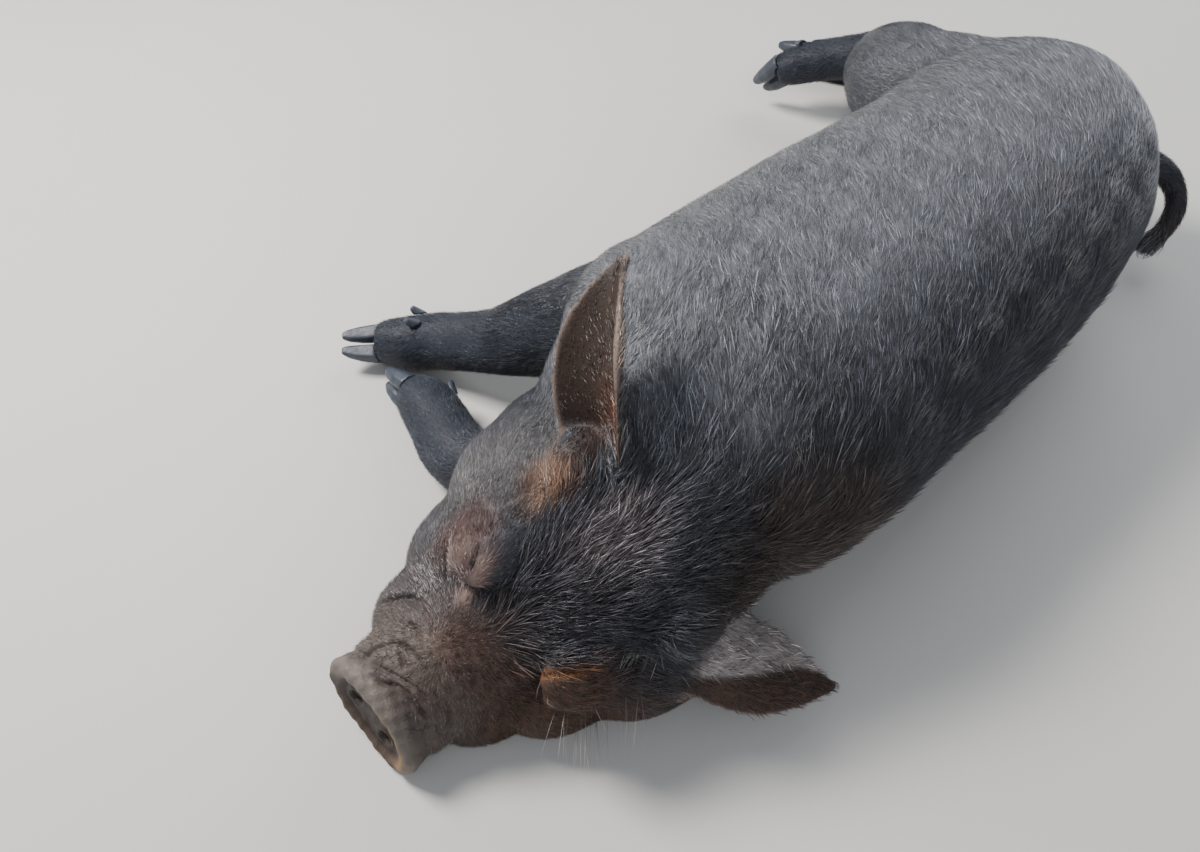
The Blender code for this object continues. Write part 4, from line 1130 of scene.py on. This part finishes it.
@dataclass
class Hide:
    """The one skin over all the flesh, ears, tail and wattles."""

    cell: float = 0.0015
    coat_depth: float = 0.0012
    thinning: float = 0.42
    head_middle: Vec = (0.06, 0.0, -0.04)
    head_reach: float = 0.13
    face_middle: Vec = (0.108, 0.0, -0.050)
    face_reach: float = 0.078
    rim_roll: float = 0.0011
    rim_width: tuple[float, float] = (0.005, 0.004)
    face_hollow: float = 0.0026
    floor_clearance: float = 0.0004

    def build(self) -> Object:
        """Make the skin.

        Returns:
            The skin's object.
        """
        skin = self._flesh()
        self._soften(skin.data)
        self._thin_out(skin)
        self._refine_face(skin.data)
        self._sculpt(skin.data)
        skin.data.shade_smooth()
        points = places(skin.data)
        set_tint(skin.data, MARKINGS_AND_PAINTED_LIGHT.tint(points, normals_of(skin.data)))
        disc = SNOUT.told(points)
        snout = ease(-0.038, -0.020, disc[:, 0]) * ease(0.001, -0.003, disc[:, 0])
        snout *= ease(-0.35, 0.35, disc[:, 2] / SNOUT.height) * (np.abs(disc[:, 1]) < 0.05)
        crack = skin.data.attributes.new("crack", "FLOAT", "POINT")
        write(crack.data, "value", snout)
        wear(skin, HideFinish().make())
        log.info("hide: %d faces", len(skin.data.polygons))
        return skin

    def _flesh(self) -> Object:
        """All the flesh as one closed, even mesh."""
        bm = bmesh.new()
        for part in (TRUNK, NECK, *LEGS, TAIL, *BODY_MASSES, SKULL, JAW, *HEAD_MASSES, *EYES, SNOUT):
            part.build(bm)
        tree = BVHTree.FromBMesh(bm)
        for wattle in WATTLES:
            wattle.build(bm, tree)
        for ear in EARS:
            ear.build(bm)
        skin = mesh_object("hide", bm)
        fuse(skin, self.cell)
        return skin

    def _soften(self, mesh: Mesh) -> None:
        """Round the joins: little on ears, tail and face, more on the trunk."""
        points = places(mesh)
        told = HEAD.inward(points)
        tail = near(points, TAIL.line(None, None, 4), 0.014)
        thin = np.maximum(near(points, along_ears(0.30), 0.030), tail)
        relax(mesh, 0.5 * (1 - 0.90 * thin), 16)
        head = ease(-0.02, 0.02, told[:, 0]) * (told[:, 2] > -0.16)
        limbs = near(points, np.vstack([leg.line(24, None) for leg in LEGS]), 0.035)
        relax(mesh, 0.5 * (1 - np.maximum(np.maximum(head, thin), limbs)), 60)

    def _thin_out(self, skin: Object) -> None:
        """Fewer, larger faces away from the head."""
        middle = np.array(HEAD.matrix() @ Vector(self.head_middle))
        far = np.linalg.norm(places(skin.data) - middle, axis=1) > self.head_reach
        group = skin.vertex_groups.new(name="far")
        group.add(np.flatnonzero(far).tolist(), 1.0, "REPLACE")
        thin_out(skin, self.thinning, group.name)
        skin.vertex_groups.clear()

    def _refine_face(self, mesh: Mesh) -> None:
        """Split the faces between the eyes and the snout, so that folds can be cut there."""
        bm = bmesh.new()
        bm.from_mesh(mesh)
        middle = HEAD.matrix() @ Vector(self.face_middle)
        edges = [edge for edge in bm.edges if (edge.verts[0].co - middle).length < self.face_reach]
        bmesh.ops.subdivide_edges(bm, edges=edges, cuts=1, use_grid_fill=True)
        bmesh.ops.triangulate(bm, faces=[face for face in bm.faces if len(face.verts) > 4])
        bm.to_mesh(mesh)
        bm.free()
        points = places(mesh)
        face = 1 - ease(0.9, 1.0, np.linalg.norm(points - np.array(middle), axis=1) / self.face_reach)
        relax(mesh, 0.5 * face, 3)

    def _sculpt(self, mesh: Mesh) -> None:
        """Draw the skin in by the coat's depth and cut folds, lids and nostrils."""
        points = places(mesh)
        normals = normals_of(mesh)
        disc = SNOUT.told(points)
        depth = np.full(len(points), self.coat_depth)
        depth *= 1 - near(points, along_ears(0.2), 0.030)
        depth *= ease(0.010, 0.020, np.abs(disc[:, 0]))
        reach = SNOUT.reach(disc)
        roll = np.exp(-((disc[:, 0] - 0.002) / 0.0032) ** 2) * ease(0.80, 0.95, reach)
        neck = np.exp(-((disc[:, 0] + 0.0075) / 0.0030) ** 2) * ease(0.70, 0.95, reach)
        rise = -depth + self.rim_roll * roll - 0.9 * self.rim_roll * neck
        told = HEAD.inward(points)
        for fold in FOLDS:
            rise += fold.raise_by(told)
        points = points + normals * (rise + self._unevenness(points, told))[:, None]
        points = self._open_nostrils(points, disc)
        points[:, 2] = np.maximum(points[:, 2], self.floor_clearance)
        move_to(mesh, points)

    @staticmethod
    def _unevenness(points: Array, told: Array) -> Array:
        """Soft lumps, smaller and closer on the snout."""
        one, two = (np.sin(points @ np.array(way)) for way in ((61.0, 23.0, 47.0), (-31.0, 74.0, 18.0)))
        fine = np.sin(told @ np.array((610.0, 240.0, 330.0)))
        fine *= np.sin(told @ np.array((-290.0, 690.0, 200.0)))
        return 0.0007 * one * two + 0.00035 * ease(0.095, 0.120, told[:, 0]) * fine

    def _open_nostrils(self, points: Array, disc: Array) -> Array:
        """Hollow the disc's face and push the two nostrils in."""
        front = ease(-0.001, 0.003, disc[:, 0])
        depth = self.face_hollow * (1 - ease(0.72, 1.02, SNOUT.reach(disc, self.rim_width)))
        for sign in (1, -1):
            hole = np.hypot((disc[:, 1] - sign * SNOUT.nostril_spread) / SNOUT.nostril[0],
                            (disc[:, 2] - 0.001) / SNOUT.nostril[1])
            depth = depth + SNOUT.nostril_depth * (1 - ease(0.55, 1.05, hole))
            depth = depth - 0.0010 * np.exp(-((hole - 1.35) / 0.30) ** 2)
        return points + np.outer(front * depth, -SNOUT.facing())


@dataclass
class Guides:
    """The lie of the coat: along the limbs, ears and tail, back over the crown, and over the trunk."""

    points: Array = field(init=False)
    ways: Array = field(init=False)
    reach: Array = field(init=False)
    trunk_pull: float = 0.10
    whorl: tuple[float, float] = (0.116, -0.009)

    def __post_init__(self) -> None:
        """Collect the places along the limbs, ears and tail."""
        points, ways, reach = [], [], []
        for limb in (*LEGS, TAIL):
            rings = limb.rings()[::4]
            centres = limb.line(None, None, 4)
            start = 1 if limb is TAIL else 3
            points.append(centres[start:])
            ways.append(unit(np.gradient(centres, axis=0))[start:])
            reach.append(rings[start:, 3] * 1.1)
        for ear in EARS:
            t = np.linspace(0.15, 1.0, 10)
            points.append(ear.axis(t))
            ways.append(ear.front(t)[0])
            reach.append(np.full(10, 0.020))
        self.points, self.ways, self.reach = np.vstack(points), np.vstack(ways), np.concatenate(reach)

    def lie(self, points: Array, normals: Array) -> Array:
        """The way the hair lies at each place.

        Args:
            points: places on the skin.
            normals: the skin's normals there.

        Returns:
            Unit vectors along the skin.
        """
        tailward = np.array((1.0, 0.0, 0.0))
        around = np.cross(normals, tailward)
        top = ease(-0.2, 0.6, normals[:, 2])
        way = tailward * (0.9 - 0.35 * top)[:, None] + around * (0.15 + 0.60 * top)[:, None]
        way *= self.trunk_pull
        told = HEAD.inward(points)
        fan = np.stack([told[:, 0] - self.whorl[0], told[:, 1] - self.whorl[1], np.zeros(len(told))], axis=1)
        share = ease(-0.045, 0.005, told[:, 0]) * (told[:, 2] > -0.2)
        way = way + HEAD.turn_out(unit(fan)) * share[:, None]
        for place, along, reach in zip(self.points, self.ways, self.reach):
            off = points - place
            way = way + np.outer(np.exp(-dots(off, off) / (2 * reach ** 2)) * 1.4, along)
        way = way - normals * dots(way, normals)[:, None]
        return unit(way)


@dataclass(frozen=True)
class Bristle:
    """The make of one kind of hair, with how often each tone comes, from dark to pale."""

    length: float
    width: float
    lift: float
    spread: float
    segments: int
    tones: tuple[float, float, float, float] = (0.36, 0.38, 0.18, 0.08)
    clump: float = 0.0
    sink: float = 0.0005


@dataclass
class Roots:
    """Places on the skin from which hair grows."""

    points: Array
    normals: Array
    maps: Array

    def __len__(self) -> int:
        """How many roots there are."""
        return len(self.points)

    def taken(self, keep: slice) -> Roots:
        """Only the roots that keep picks."""
        return Roots(self.points[keep], self.normals[keep], self.maps[keep])


@dataclass
class Skinned:
    """The skin, ready to be sown: a search tree of it, and a lighter copy with its unwrap."""

    skin: Object
    light_triangles: int = 26000
    unwrap_angle: float = math.radians(66)
    unwrap_margin: float = 0.004
    tree: BVHTree = field(init=False)
    corners: Array = field(init=False)
    corner_normals: Array = field(init=False)
    maps: Array = field(init=False)
    areas: Array = field(init=False)

    def __post_init__(self) -> None:
        """Make the search tree and the lighter copy, and read the copy's triangles."""
        self.tree = BVHTree.FromObject(self.skin, bpy.context.evaluated_depsgraph_get())
        light = self._light_copy()
        mesh = light.data
        mesh.calc_loop_triangles()
        loops, verts = (read(mesh.loop_triangles, name, 3, np.int32) for name in ("loops", "vertices"))
        self.maps = read(mesh.uv_layers.active.data, "uv", 2)[loops].astype(float)
        self.corners, self.corner_normals = places(mesh)[verts], normals_of(mesh)[verts]
        one, two = self.corners[:, 1] - self.corners[:, 0], self.corners[:, 2] - self.corners[:, 0]
        self.areas = np.linalg.norm(np.cross(one, two), axis=1) / 2
        bpy.data.objects.remove(light)

    def _light_copy(self) -> Object:
        """A lighter copy of the skin, unwrapped by its own shape."""
        light = linked("light", self.skin.data.copy())
        light.data.calc_loop_triangles()
        thin_out(light, self.light_triangles / len(light.data.loop_triangles))
        bpy.ops.object.select_all(action="DESELECT")
        light.select_set(True)
        bpy.context.view_layer.objects.active = light
        bpy.ops.object.mode_set(mode="EDIT")
        bpy.ops.mesh.select_all(action="SELECT")
        bpy.ops.uv.smart_project(angle_limit=self.unwrap_angle, island_margin=self.unwrap_margin)
        bpy.ops.object.mode_set(mode="OBJECT")
        return light

    def sow(self, count: int, density: Array, draw: np.random.Generator) -> Roots:
        """Scatter roots over the skin.

        Args:
            count: how many.
            density: how thickly each triangle of the lighter copy is sown.
            draw: the random numbers.

        Returns:
            The roots.
        """
        share = np.cumsum(self.areas * density)
        face = np.minimum(np.searchsorted(share, draw.random(count) * share[-1]), len(self.areas) - 1)
        a, b = draw.random((2, count, 1))
        flip = a + b > 1
        a, b = np.where(flip, 1 - a, a), np.where(flip, 1 - b, b)
        rough, normals, maps = (values[face, 0] * (1 - a - b) + values[face, 1] * a + values[face, 2] * b
                                for values in (self.corners, self.corner_normals, self.maps))
        points = np.array([self.tree.find_nearest(place)[0] for place in rough.tolist()])
        return Roots(points, unit(normals), maps)


@dataclass(frozen=True)
class Ground:
    """The middles of the triangles that are sown, in the frame, the head's frame and the disc's."""

    points: Array
    told: Array
    disc: Array


@dataclass(frozen=True)
class Stretch:
    """A stretch of coat: how many hairs of what make, how thickly on each triangle of the ground.

    A heading in the frame overrides the lie of the coat, and a colour the tint of the skin. Free hairs
    stand out along their heading and don't follow the skin.
    """

    name: str
    count: int
    make: Bristle
    density: Array
    heading: Vec | None = None
    colour: Colour | None = None
    free: bool = False


@dataclass
class Hairs:
    """The hairs of one piece of the coat, from their roots to their mesh."""

    name: str
    stretch: Stretch
    roots: Roots
    draw: np.random.Generator
    guides: Guides
    tree: BVHTree
    lengths: tuple[float, float] = (0.65, 1.2)
    lifts: tuple[float, float] = (0.5, 1.4)
    widths: tuple[float, float] = (0.75, 1.25)
    flatness: float = 1.3
    taper: float = 0.75
    sway: float = 0.20
    tones: tuple[float, float, float, float] = (0.55, 1.0, 1.9, 3.4)
    tone_play: tuple[float, float] = (0.8, 1.2)
    sheens: Vec = (0.75, 1.0, 1.6)
    sheen_shares: Vec = (0.4, 0.4, 0.2)
    palest: float = 3.8
    clump_reach: float = 0.006
    clump_size: int = 9
    sag: float = 0.12
    lowest: float = 0.0002
    map_patch: float = 0.003

    def build(self, finish: Material) -> Object:
        """Make the piece.

        Args:
            finish: the coat's material.

        Returns:
            The piece's object.
        """
        count, make = len(self.roots), self.stretch.make
        way = self._headings()
        side = np.cross(self.roots.normals, way)
        length = make.length * self.draw.uniform(*self.lengths, count) * self._shortening()
        tone = self.draw.choice(self.tones, size=count, p=make.tones)
        tone = tone * self.draw.uniform(*self.tone_play, count)
        if make.clump:
            way, tone = self._clumped(way, length, tone)
        lines, ups = (self._free_lines if self.stretch.free else self._lines)(way, length)
        width = (make.width * self.draw.uniform(*self.widths, count))[:, None]
        verts = np.empty((count, make.segments * 3 + 1, 3))
        for ring in range(make.segments):
            radius = width * (1 - self.taper * (ring / make.segments) ** 1.6) / 2
            for corner in range(3):
                angle = 2 * math.pi * corner / 3 + math.pi / 2
                outline = lines[:, ring] + side * radius * math.cos(angle) * self.flatness
                verts[:, ring * 3 + corner] = outline + ups[:, ring] * radius * math.sin(angle)
        verts[:, -1] = lines[:, -1]
        verts[..., 2] = np.maximum(verts[..., 2], self.lowest)
        index = self._triangles(make.segments, count)
        obj = self._object(verts.reshape(-1, 3), index)
        wear(obj, finish)
        colour = MARKINGS_AND_PAINTED_LIGHT.tint(self.roots.points, self.roots.normals)
        if self.stretch.colour:
            colour = np.tile(np.array(self.stretch.colour), (count, 1))
        self._dress(obj.data, colour * tone[:, None], index)
        return obj

    def _headings(self) -> Array:
        """The way each hair sets out, with a slow sway over the coat and a small one from hair to hair."""
        points, normals = self.roots.points, self.roots.normals
        way = self.guides.lie(points, normals)
        if self.stretch.heading:
            way = unit(np.tile(np.array(self.stretch.heading), (len(points), 1)))
            if not self.stretch.free:
                way = unit(way - normals * dots(way, normals)[:, None])
        slow = self.sway * np.sin(points @ np.array((160.0, 45.0, 90.0)))
        slow += self.sway * np.sin(points @ np.array((-70.0, 210.0, 60.0)) + 1.3)
        sway = slow[:, None] + self.draw.normal(0, self.stretch.make.spread, (len(points), 1))
        return unit(way + np.cross(normals, way) * sway)

    def _shortening(self) -> Array:
        """How much shorter than its make the hair is at each root: on the feet, ears and snout."""
        points = self.roots.points
        short = 1 - 0.45 * ease(0.095, 0.125, HEAD.inward(points)[:, 0])
        for leg in LEGS:
            short *= 1 - 0.45 * near(points, leg.line(28, None, 3), 0.036, 2 / 3)
        return short * (1 - 0.50 * near(points, along_ears(0.3, 8), 0.034, 11 / 17))

    def _clumped(self, way: Array, length: Array, tone: Array) -> tuple[Array, Array]:
        """Draw the hairs' tips together in small clumps, some of them paler.

        Args:
            way: the way each hair sets out.
            length: how long each is.
            tone: how light each is.

        Returns:
            The new ways and tones.
        """
        points, count = self.roots.points, len(self.roots)
        heads = self.draw.choice(count, max(count // self.clump_size, 1), replace=False)
        own = np.empty(count, dtype=int)
        for start in range(0, count, 1000):
            off = points[start:start + 1000][:, None, :] - points[heads][None]
            own[start:start + 1000] = (off ** 2).sum(axis=2).argmin(axis=1)
        pull = points[heads][own] - points
        pull *= np.minimum(1.0, self.clump_reach / np.maximum(np.linalg.norm(pull, axis=1), 1e-6))[:, None]
        sheen = self.draw.choice(self.sheens, size=len(heads), p=self.sheen_shares)
        way = unit(way * length[:, None] + self.stretch.make.clump * pull)
        return way, np.minimum(tone * sheen[own], self.palest)

    def _lines(self, way: Array, length: Array) -> tuple[Array, Array]:
        """Lead the hairs over the skin.

        Args:
            way: the way each hair sets out.
            length: how long each is.

        Returns:
            Their middle lines, root to tip, and the upward way at each of their points.
        """
        make, place, up = self.stretch.make, self.roots.points, self.roots.normals
        lines, ups = [place - up * make.sink], [up]
        lift = make.lift * self.draw.uniform(*self.lifts, len(place))
        for station in range(1, make.segments + 1):
            way = unit(way - up * dots(way, up)[:, None])
            ahead = place + way * (length / make.segments)[:, None]
            found = [self.tree.find_nearest(point) for point in ahead.tolist()]
            place = np.array([hit[0] for hit in found])
            up = unit(0.5 * up + 0.5 * np.array([hit[1] for hit in found]))
            lines.append(place + up * (lift * (station / make.segments) ** 1.2 + self.lowest)[:, None])
            ups.append(up)
        return np.stack(lines, axis=1), np.stack(ups, axis=1)

    def _free_lines(self, way: Array, length: Array) -> tuple[Array, Array]:
        """Lead the hairs out free of the skin, sagging a little.

        Args:
            way: the way each hair sets out.
            length: how long each is.

        Returns:
            Their middle lines, root to tip, and the upward way at each of their points.
        """
        stations = self.stretch.make.segments + 1
        share = np.linspace(0.0, 1.0, stations)[None, :, None]
        lines = self.roots.points[:, None] + way[:, None] * share * length[:, None, None]
        lines[..., 2] -= (self.sag * length[:, None, None] * share ** 2)[..., 0]
        return lines, np.tile(self.roots.normals[:, None], (1, stations, 1))

    @staticmethod
    def _triangles(segments: int, count: int) -> Array:
        """The corners of every triangle of count three-sided hairs."""
        faces = [(2, 1, 0)]
        for ring in range(segments - 1):
            for corner in range(3):
                a, b = ring * 3 + corner, ring * 3 + (corner + 1) % 3
                faces += [(a, b, b + 3), (a, b + 3, a + 3)]
        last = (segments - 1) * 3
        faces += [(last + corner, last + (corner + 1) % 3, segments * 3) for corner in range(3)]
        step = segments * 3 + 1
        return (np.array(faces)[None] + (np.arange(count) * step)[:, None, None]).reshape(-1, 3)

    def _object(self, verts: Array, index: Array) -> Object:
        """An object from arrays of points and triangles."""
        mesh = bpy.data.meshes.new(self.name)
        mesh.vertices.add(len(verts))
        mesh.loops.add(index.size)
        mesh.polygons.add(len(index))
        write(mesh.vertices, "co", verts)
        write(mesh.loops, "vertex_index", index, np.int32)
        write(mesh.polygons, "loop_start", np.arange(0, index.size, 3), np.int32)
        mesh.update(calc_edges=True)
        mesh.shade_smooth()
        return linked(self.name, mesh)

    def _dress(self, mesh: Mesh, colour: Array, index: Array) -> None:
        """Give the hairs their tints and their places on the unwrap.

        Args:
            mesh: the hairs.
            colour: the colour of each hair.
            index: the points of each triangle.
        """
        per_hair = len(mesh.vertices) // len(self.roots)
        along = np.linspace(0.75, 1.35, per_hair)[None, :, None]
        set_tint(mesh, (colour[:, None, :] * along).reshape(-1, 3))
        offset = np.zeros((per_hair, 2))
        offset[:-1, 0] = np.tile((-0.5, 0.0, 0.5), (per_hair - 1) // 3) * self.map_patch
        offset[:, 1] = np.linspace(-0.5, 0.5, per_hair) * self.map_patch
        uvs = (self.roots.maps[:, None, :] + offset[None]).reshape(-1, 2)
        write(mesh.uv_layers.new(name="OFBake").data, "uv", uvs[index.ravel()])


@dataclass
class Coat:
    """The coat: bristles over the whole skin, in several pieces."""

    skinned: Skinned
    guides: Guides = field(default_factory=Guides)
    most_triangles: int = 190000
    quick_share: float = 0.35
    in_ear: float = 0.22
    lid_edge: Vec = (0.0775, -0.038, -0.0115)
    lid_reach: Vec = (0.0075, 0.0045, 0.0065)
    lid_bare: float = 0.75
    body: Bristle = Bristle(0.0105, 0.00040, 0.0013, 0.22, 1, (0.33, 0.42, 0.20, 0.05))
    face: Bristle = Bristle(0.0060, 0.00034, 0.0012, 0.26, 1, (0.30, 0.42, 0.20, 0.08))
    crown: Bristle = Bristle(0.0200, 0.00050, 0.0042, 0.22, 3, (0.42, 0.31, 0.15, 0.12), 0.60)
    nape: Bristle = Bristle(0.0160, 0.00046, 0.0030, 0.20, 3, (0.46, 0.36, 0.15, 0.03), 0.45)
    whisker: Bristle = Bristle(0.0250, 0.00040, 0.0, 0.28, 4, (0.0, 0.6, 0.4, 0.0))
    fringe: Bristle = Bristle(0.0130, 0.00036, 0.0025, 0.12, 3, (0.1, 0.5, 0.4, 0.0))
    tassel: Bristle = Bristle(0.0240, 0.00042, 0.0060, 0.35, 3, (0.2, 0.4, 0.3, 0.1), 0.3)

    def build(self) -> list[Object]:
        """Grow every stretch of the coat.

        Returns:
            The coat's pieces.
        """
        finish = CoatFinish().make()
        pieces = []
        for stretch in self._stretches():
            short = stretch.make.segments == 1
            pieces += self._grow(stretch, self.quick_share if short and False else 1.0, finish)
        return pieces

    def _stretches(self) -> tuple[Stretch, ...]:
        """Every stretch of the coat, with where it grows."""
        points = self.skinned.corners.mean(axis=1)
        ground = Ground(points, HEAD.inward(points), SNOUT.told(points))
        grown = self._grown(ground)
        head = ease(-0.005, 0.020, ground.told[:, 0]) * (ground.told[:, 2] > -0.2)
        crown, nape = self._crown(ground), self._nape(ground)
        cheek, ear_base = (near(ground.told, np.array([place]), reach, 0.4) for place, reach in
                           (((0.066, 0.058, -0.050), 0.034), ((0.030, 0.044, -0.015), 0.014)))
        tail = (gap(points, TAIL.line(-9, None)) < 0.011).astype(float)
        return (
            Stretch("coat_body", 205000, self.body, grown * (1 - head)),
            Stretch("coat_face", 72000, self.face, grown * head * (1 - 0.6 * crown)),
            Stretch("coat_crown", 6200, self.crown, grown * crown),
            Stretch("coat_nape", 5200, self.nape, grown * nape),
            Stretch("coat_whiskers", 38, self.whisker, cheek, (-0.60, -0.72, -0.02), (0.30, 0.26, 0.23),
                    free=True),
            Stretch("coat_fringe", 70, self.fringe, ear_base, (-0.62, -0.60, -0.20), (0.19, 0.18, 0.17)),
            Stretch("coat_tassel", 240, self.tassel, tail, None, (0.10, 0.098, 0.100)),
        )

    def _grown(self, ground: Ground) -> Array:
        """How thickly hair grows: none on the snout's disc and the lids' edges, little in the ears."""
        disc, told, points = ground.disc, ground.told, ground.points
        within = np.hypot(disc[:, 1] / SNOUT.width, disc[:, 2] / SNOUT.height) < 0.80
        thick = np.where(within, ease(-0.004, -0.030, disc[:, 0]), 1.0)
        off = (told - np.array(self.lid_edge)) / np.array(self.lid_reach)
        thick = thick * (1 - self.lid_bare * np.exp(-dots(off, off)))
        for ear in EARS:
            close = ear.close(points)
            t, column, wall = ear.told(points[close])
            inner = (wall < 0) & (np.abs(wall) < 0.006) & (t > 0.12) & (np.abs(column) < 0.5)
            thick[close] *= np.where(inner, self.in_ear, 1.0)
        return thick * ease(0.0006, 0.0030, points[:, 2])

    @staticmethod
    def _crown(ground: Ground) -> Array:
        """The part of the head with long bristles, from between the eyes back over the crown."""
        told = ground.told
        along = ease(0.098, 0.072, told[:, 0]) * ease(-0.050, -0.020, told[:, 0])
        half = 0.014 + 0.028 * np.clip((0.095 - told[:, 0]) / 0.06, 0, 1)
        across = 1 - ease(0.70, 1.15, np.abs(told[:, 1] - 0.004) / half)
        return along * across * ease(-0.045, -0.025, told[:, 2])

    @staticmethod
    def _nape(ground: Ground) -> Array:
        """The neck, the shoulders and the line of the spine, where the coat is longer."""
        points = ground.points
        spine = ease(-0.135, -0.180, points[:, 1] + 0.05 * ease(0.05, 0.25, points[:, 0]))
        spine = spine * ease(0.030, 0.060, points[:, 2])
        neck = ease(-0.215, -0.190, points[:, 0]) * ease(-0.070, -0.110, points[:, 0])
        neck = neck * ease(-0.060, -0.110, points[:, 1])
        return np.maximum(0.55 * spine * ease(0.25, 0.10, points[:, 0]), neck)

    def _grow(self, stretch: Stretch, share: float, finish: Material) -> list[Object]:
        """Grow one stretch, split into pieces of a fair size.

        Args:
            stretch: what grows where.
            share: the part of its hairs that is grown.
            finish: the coat's material.

        Returns:
            The pieces.
        """
        draw = np.random.default_rng(SEED + sum(map(ord, stretch.name)))
        count = int(stretch.count * share)
        roots = self.skinned.sow(count, stretch.density, draw)
        batch = self.most_triangles // (6 * (stretch.make.segments - 1) + 4)
        pieces = []
        for number, start in enumerate(range(0, count, batch), 1):
            part = roots.taken(slice(start, start + batch))
            hairs = Hairs(f"{stretch.name}_{number}", stretch, part, draw, self.guides, self.skinned.tree)
            pieces.append(hairs.build(finish))
        log.info("%s: %d hairs in %d pieces", stretch.name, count, len(pieces))
        return pieces


@dataclass
class Hooves:
    """The claws and dewclaws, with rounder walls than the solids."""

    cell: float = 0.0007

    def build(self, nodes: dict[str, Object]) -> list[Object]:
        """Round every claw and give it its horn.

        Args:
            nodes: the solids by name.

        Returns:
            The new pieces.
        """
        finish = HornFinish().make()
        pieces = []
        for name, solid in nodes.items():
            if "claw" not in name:
                continue
            horn = linked(name.replace("claw", "horn"), solid.data.copy())
            fuse(horn, self.cell)
            relax(horn.data, np.full(len(horn.data.vertices), 0.5), 8)
            horn.data.shade_smooth()
            wear(horn, finish)
            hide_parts(name)
            pieces.append(horn)
        log.info("hooves: %d pieces", len(pieces))
        return pieces


@dataclass
class Studio:
    """Plain floor, soft light and the camera."""

    lens: float = 30.0
    sensor: float = 36.0
    camera_at: Vec = (-0.3955, -0.3288, 0.506)
    camera_turn: Vec = (40.0, 0.0, -40.2)
    lit: Vec = (0.0, 0.0, 0.05)
    sky: float = 0.38
    dark: Colour = (0.56, 0.545, 0.52)
    light: Colour = (0.62, 0.605, 0.58)

    def build(self) -> None:
        """Set the floor, the lights and the camera."""
        self._floor()
        for name, place, size, power, colour in (
            ("key", (-0.55, 0.75, 1.15), 0.45, 36.0, (1.0, 0.97, 0.93)),
            ("fill", (-0.9, -1.1, 1.0), 1.6, 8.0, (0.92, 0.96, 1.0)),
            ("rim", (1.2, 0.3, 0.8), 1.0, 12.0, (0.95, 0.97, 1.0)),
        ):
            light = bpy.data.lights.new(name, "AREA")
            light.size = size
            light.energy = power
            light.color = colour
            lamp = linked(name, light)
            lamp.location = place
            lamp.rotation_euler = (Vector(self.lit) - Vector(place)).to_track_quat("-Z", "Y").to_euler()
        world = bpy.data.worlds.new("studio")
        world.use_nodes = True
        sky = world.node_tree.nodes["Background"].inputs
        sky["Color"].default_value = (0.85, 0.90, 1.0, 1.0)
        sky["Strength"].default_value = self.sky
        bpy.context.scene.world = world
        lens = bpy.data.cameras.new("camera")
        lens.lens = self.lens
        lens.sensor_width = self.sensor
        lens.clip_start = 0.01
        camera = linked("camera", lens)
        camera.location = self.camera_at
        camera.rotation_euler = [math.radians(angle) for angle in self.camera_turn]
        bpy.context.scene.camera = camera

    def _floor(self) -> None:
        """A plain pale floor, not attached to the pig."""
        bm = bmesh.new()
        bmesh.ops.create_grid(bm, x_segments=1, y_segments=1, size=6.0)
        floor = mesh_object("floor", bm)
        paint = Shader("pale_floor")
        wear(floor, paint.done(Base_Color=paint.ramp(paint.noise(3.0), self.dark, self.light), Roughness=0.8))


def main() -> None:
    """Dress the pig."""
    logging.basicConfig(level=logging.INFO, format="%(message)s")
    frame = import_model()
    nodes = frame["nodes"]
    skin = Hide().build()
    flesh = [name for name in nodes if "claw" not in name and not name.startswith("eye")]
    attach(skin, ROOT_BODY)
    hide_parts(*flesh)
    for piece in Coat(Skinned(skin)).build():
        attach(piece, ROOT_BODY)
    for piece in Hooves().build(nodes):
        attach(piece, ROOT_BODY)
    eye_finish = EyeFinish().make()
    for name in ("eye_left", "eye_right"):
        wear(nodes[name], eye_finish)
        log.info("%s: finished", name)
    Studio().build()


if __name__ == "__main__":
    main()
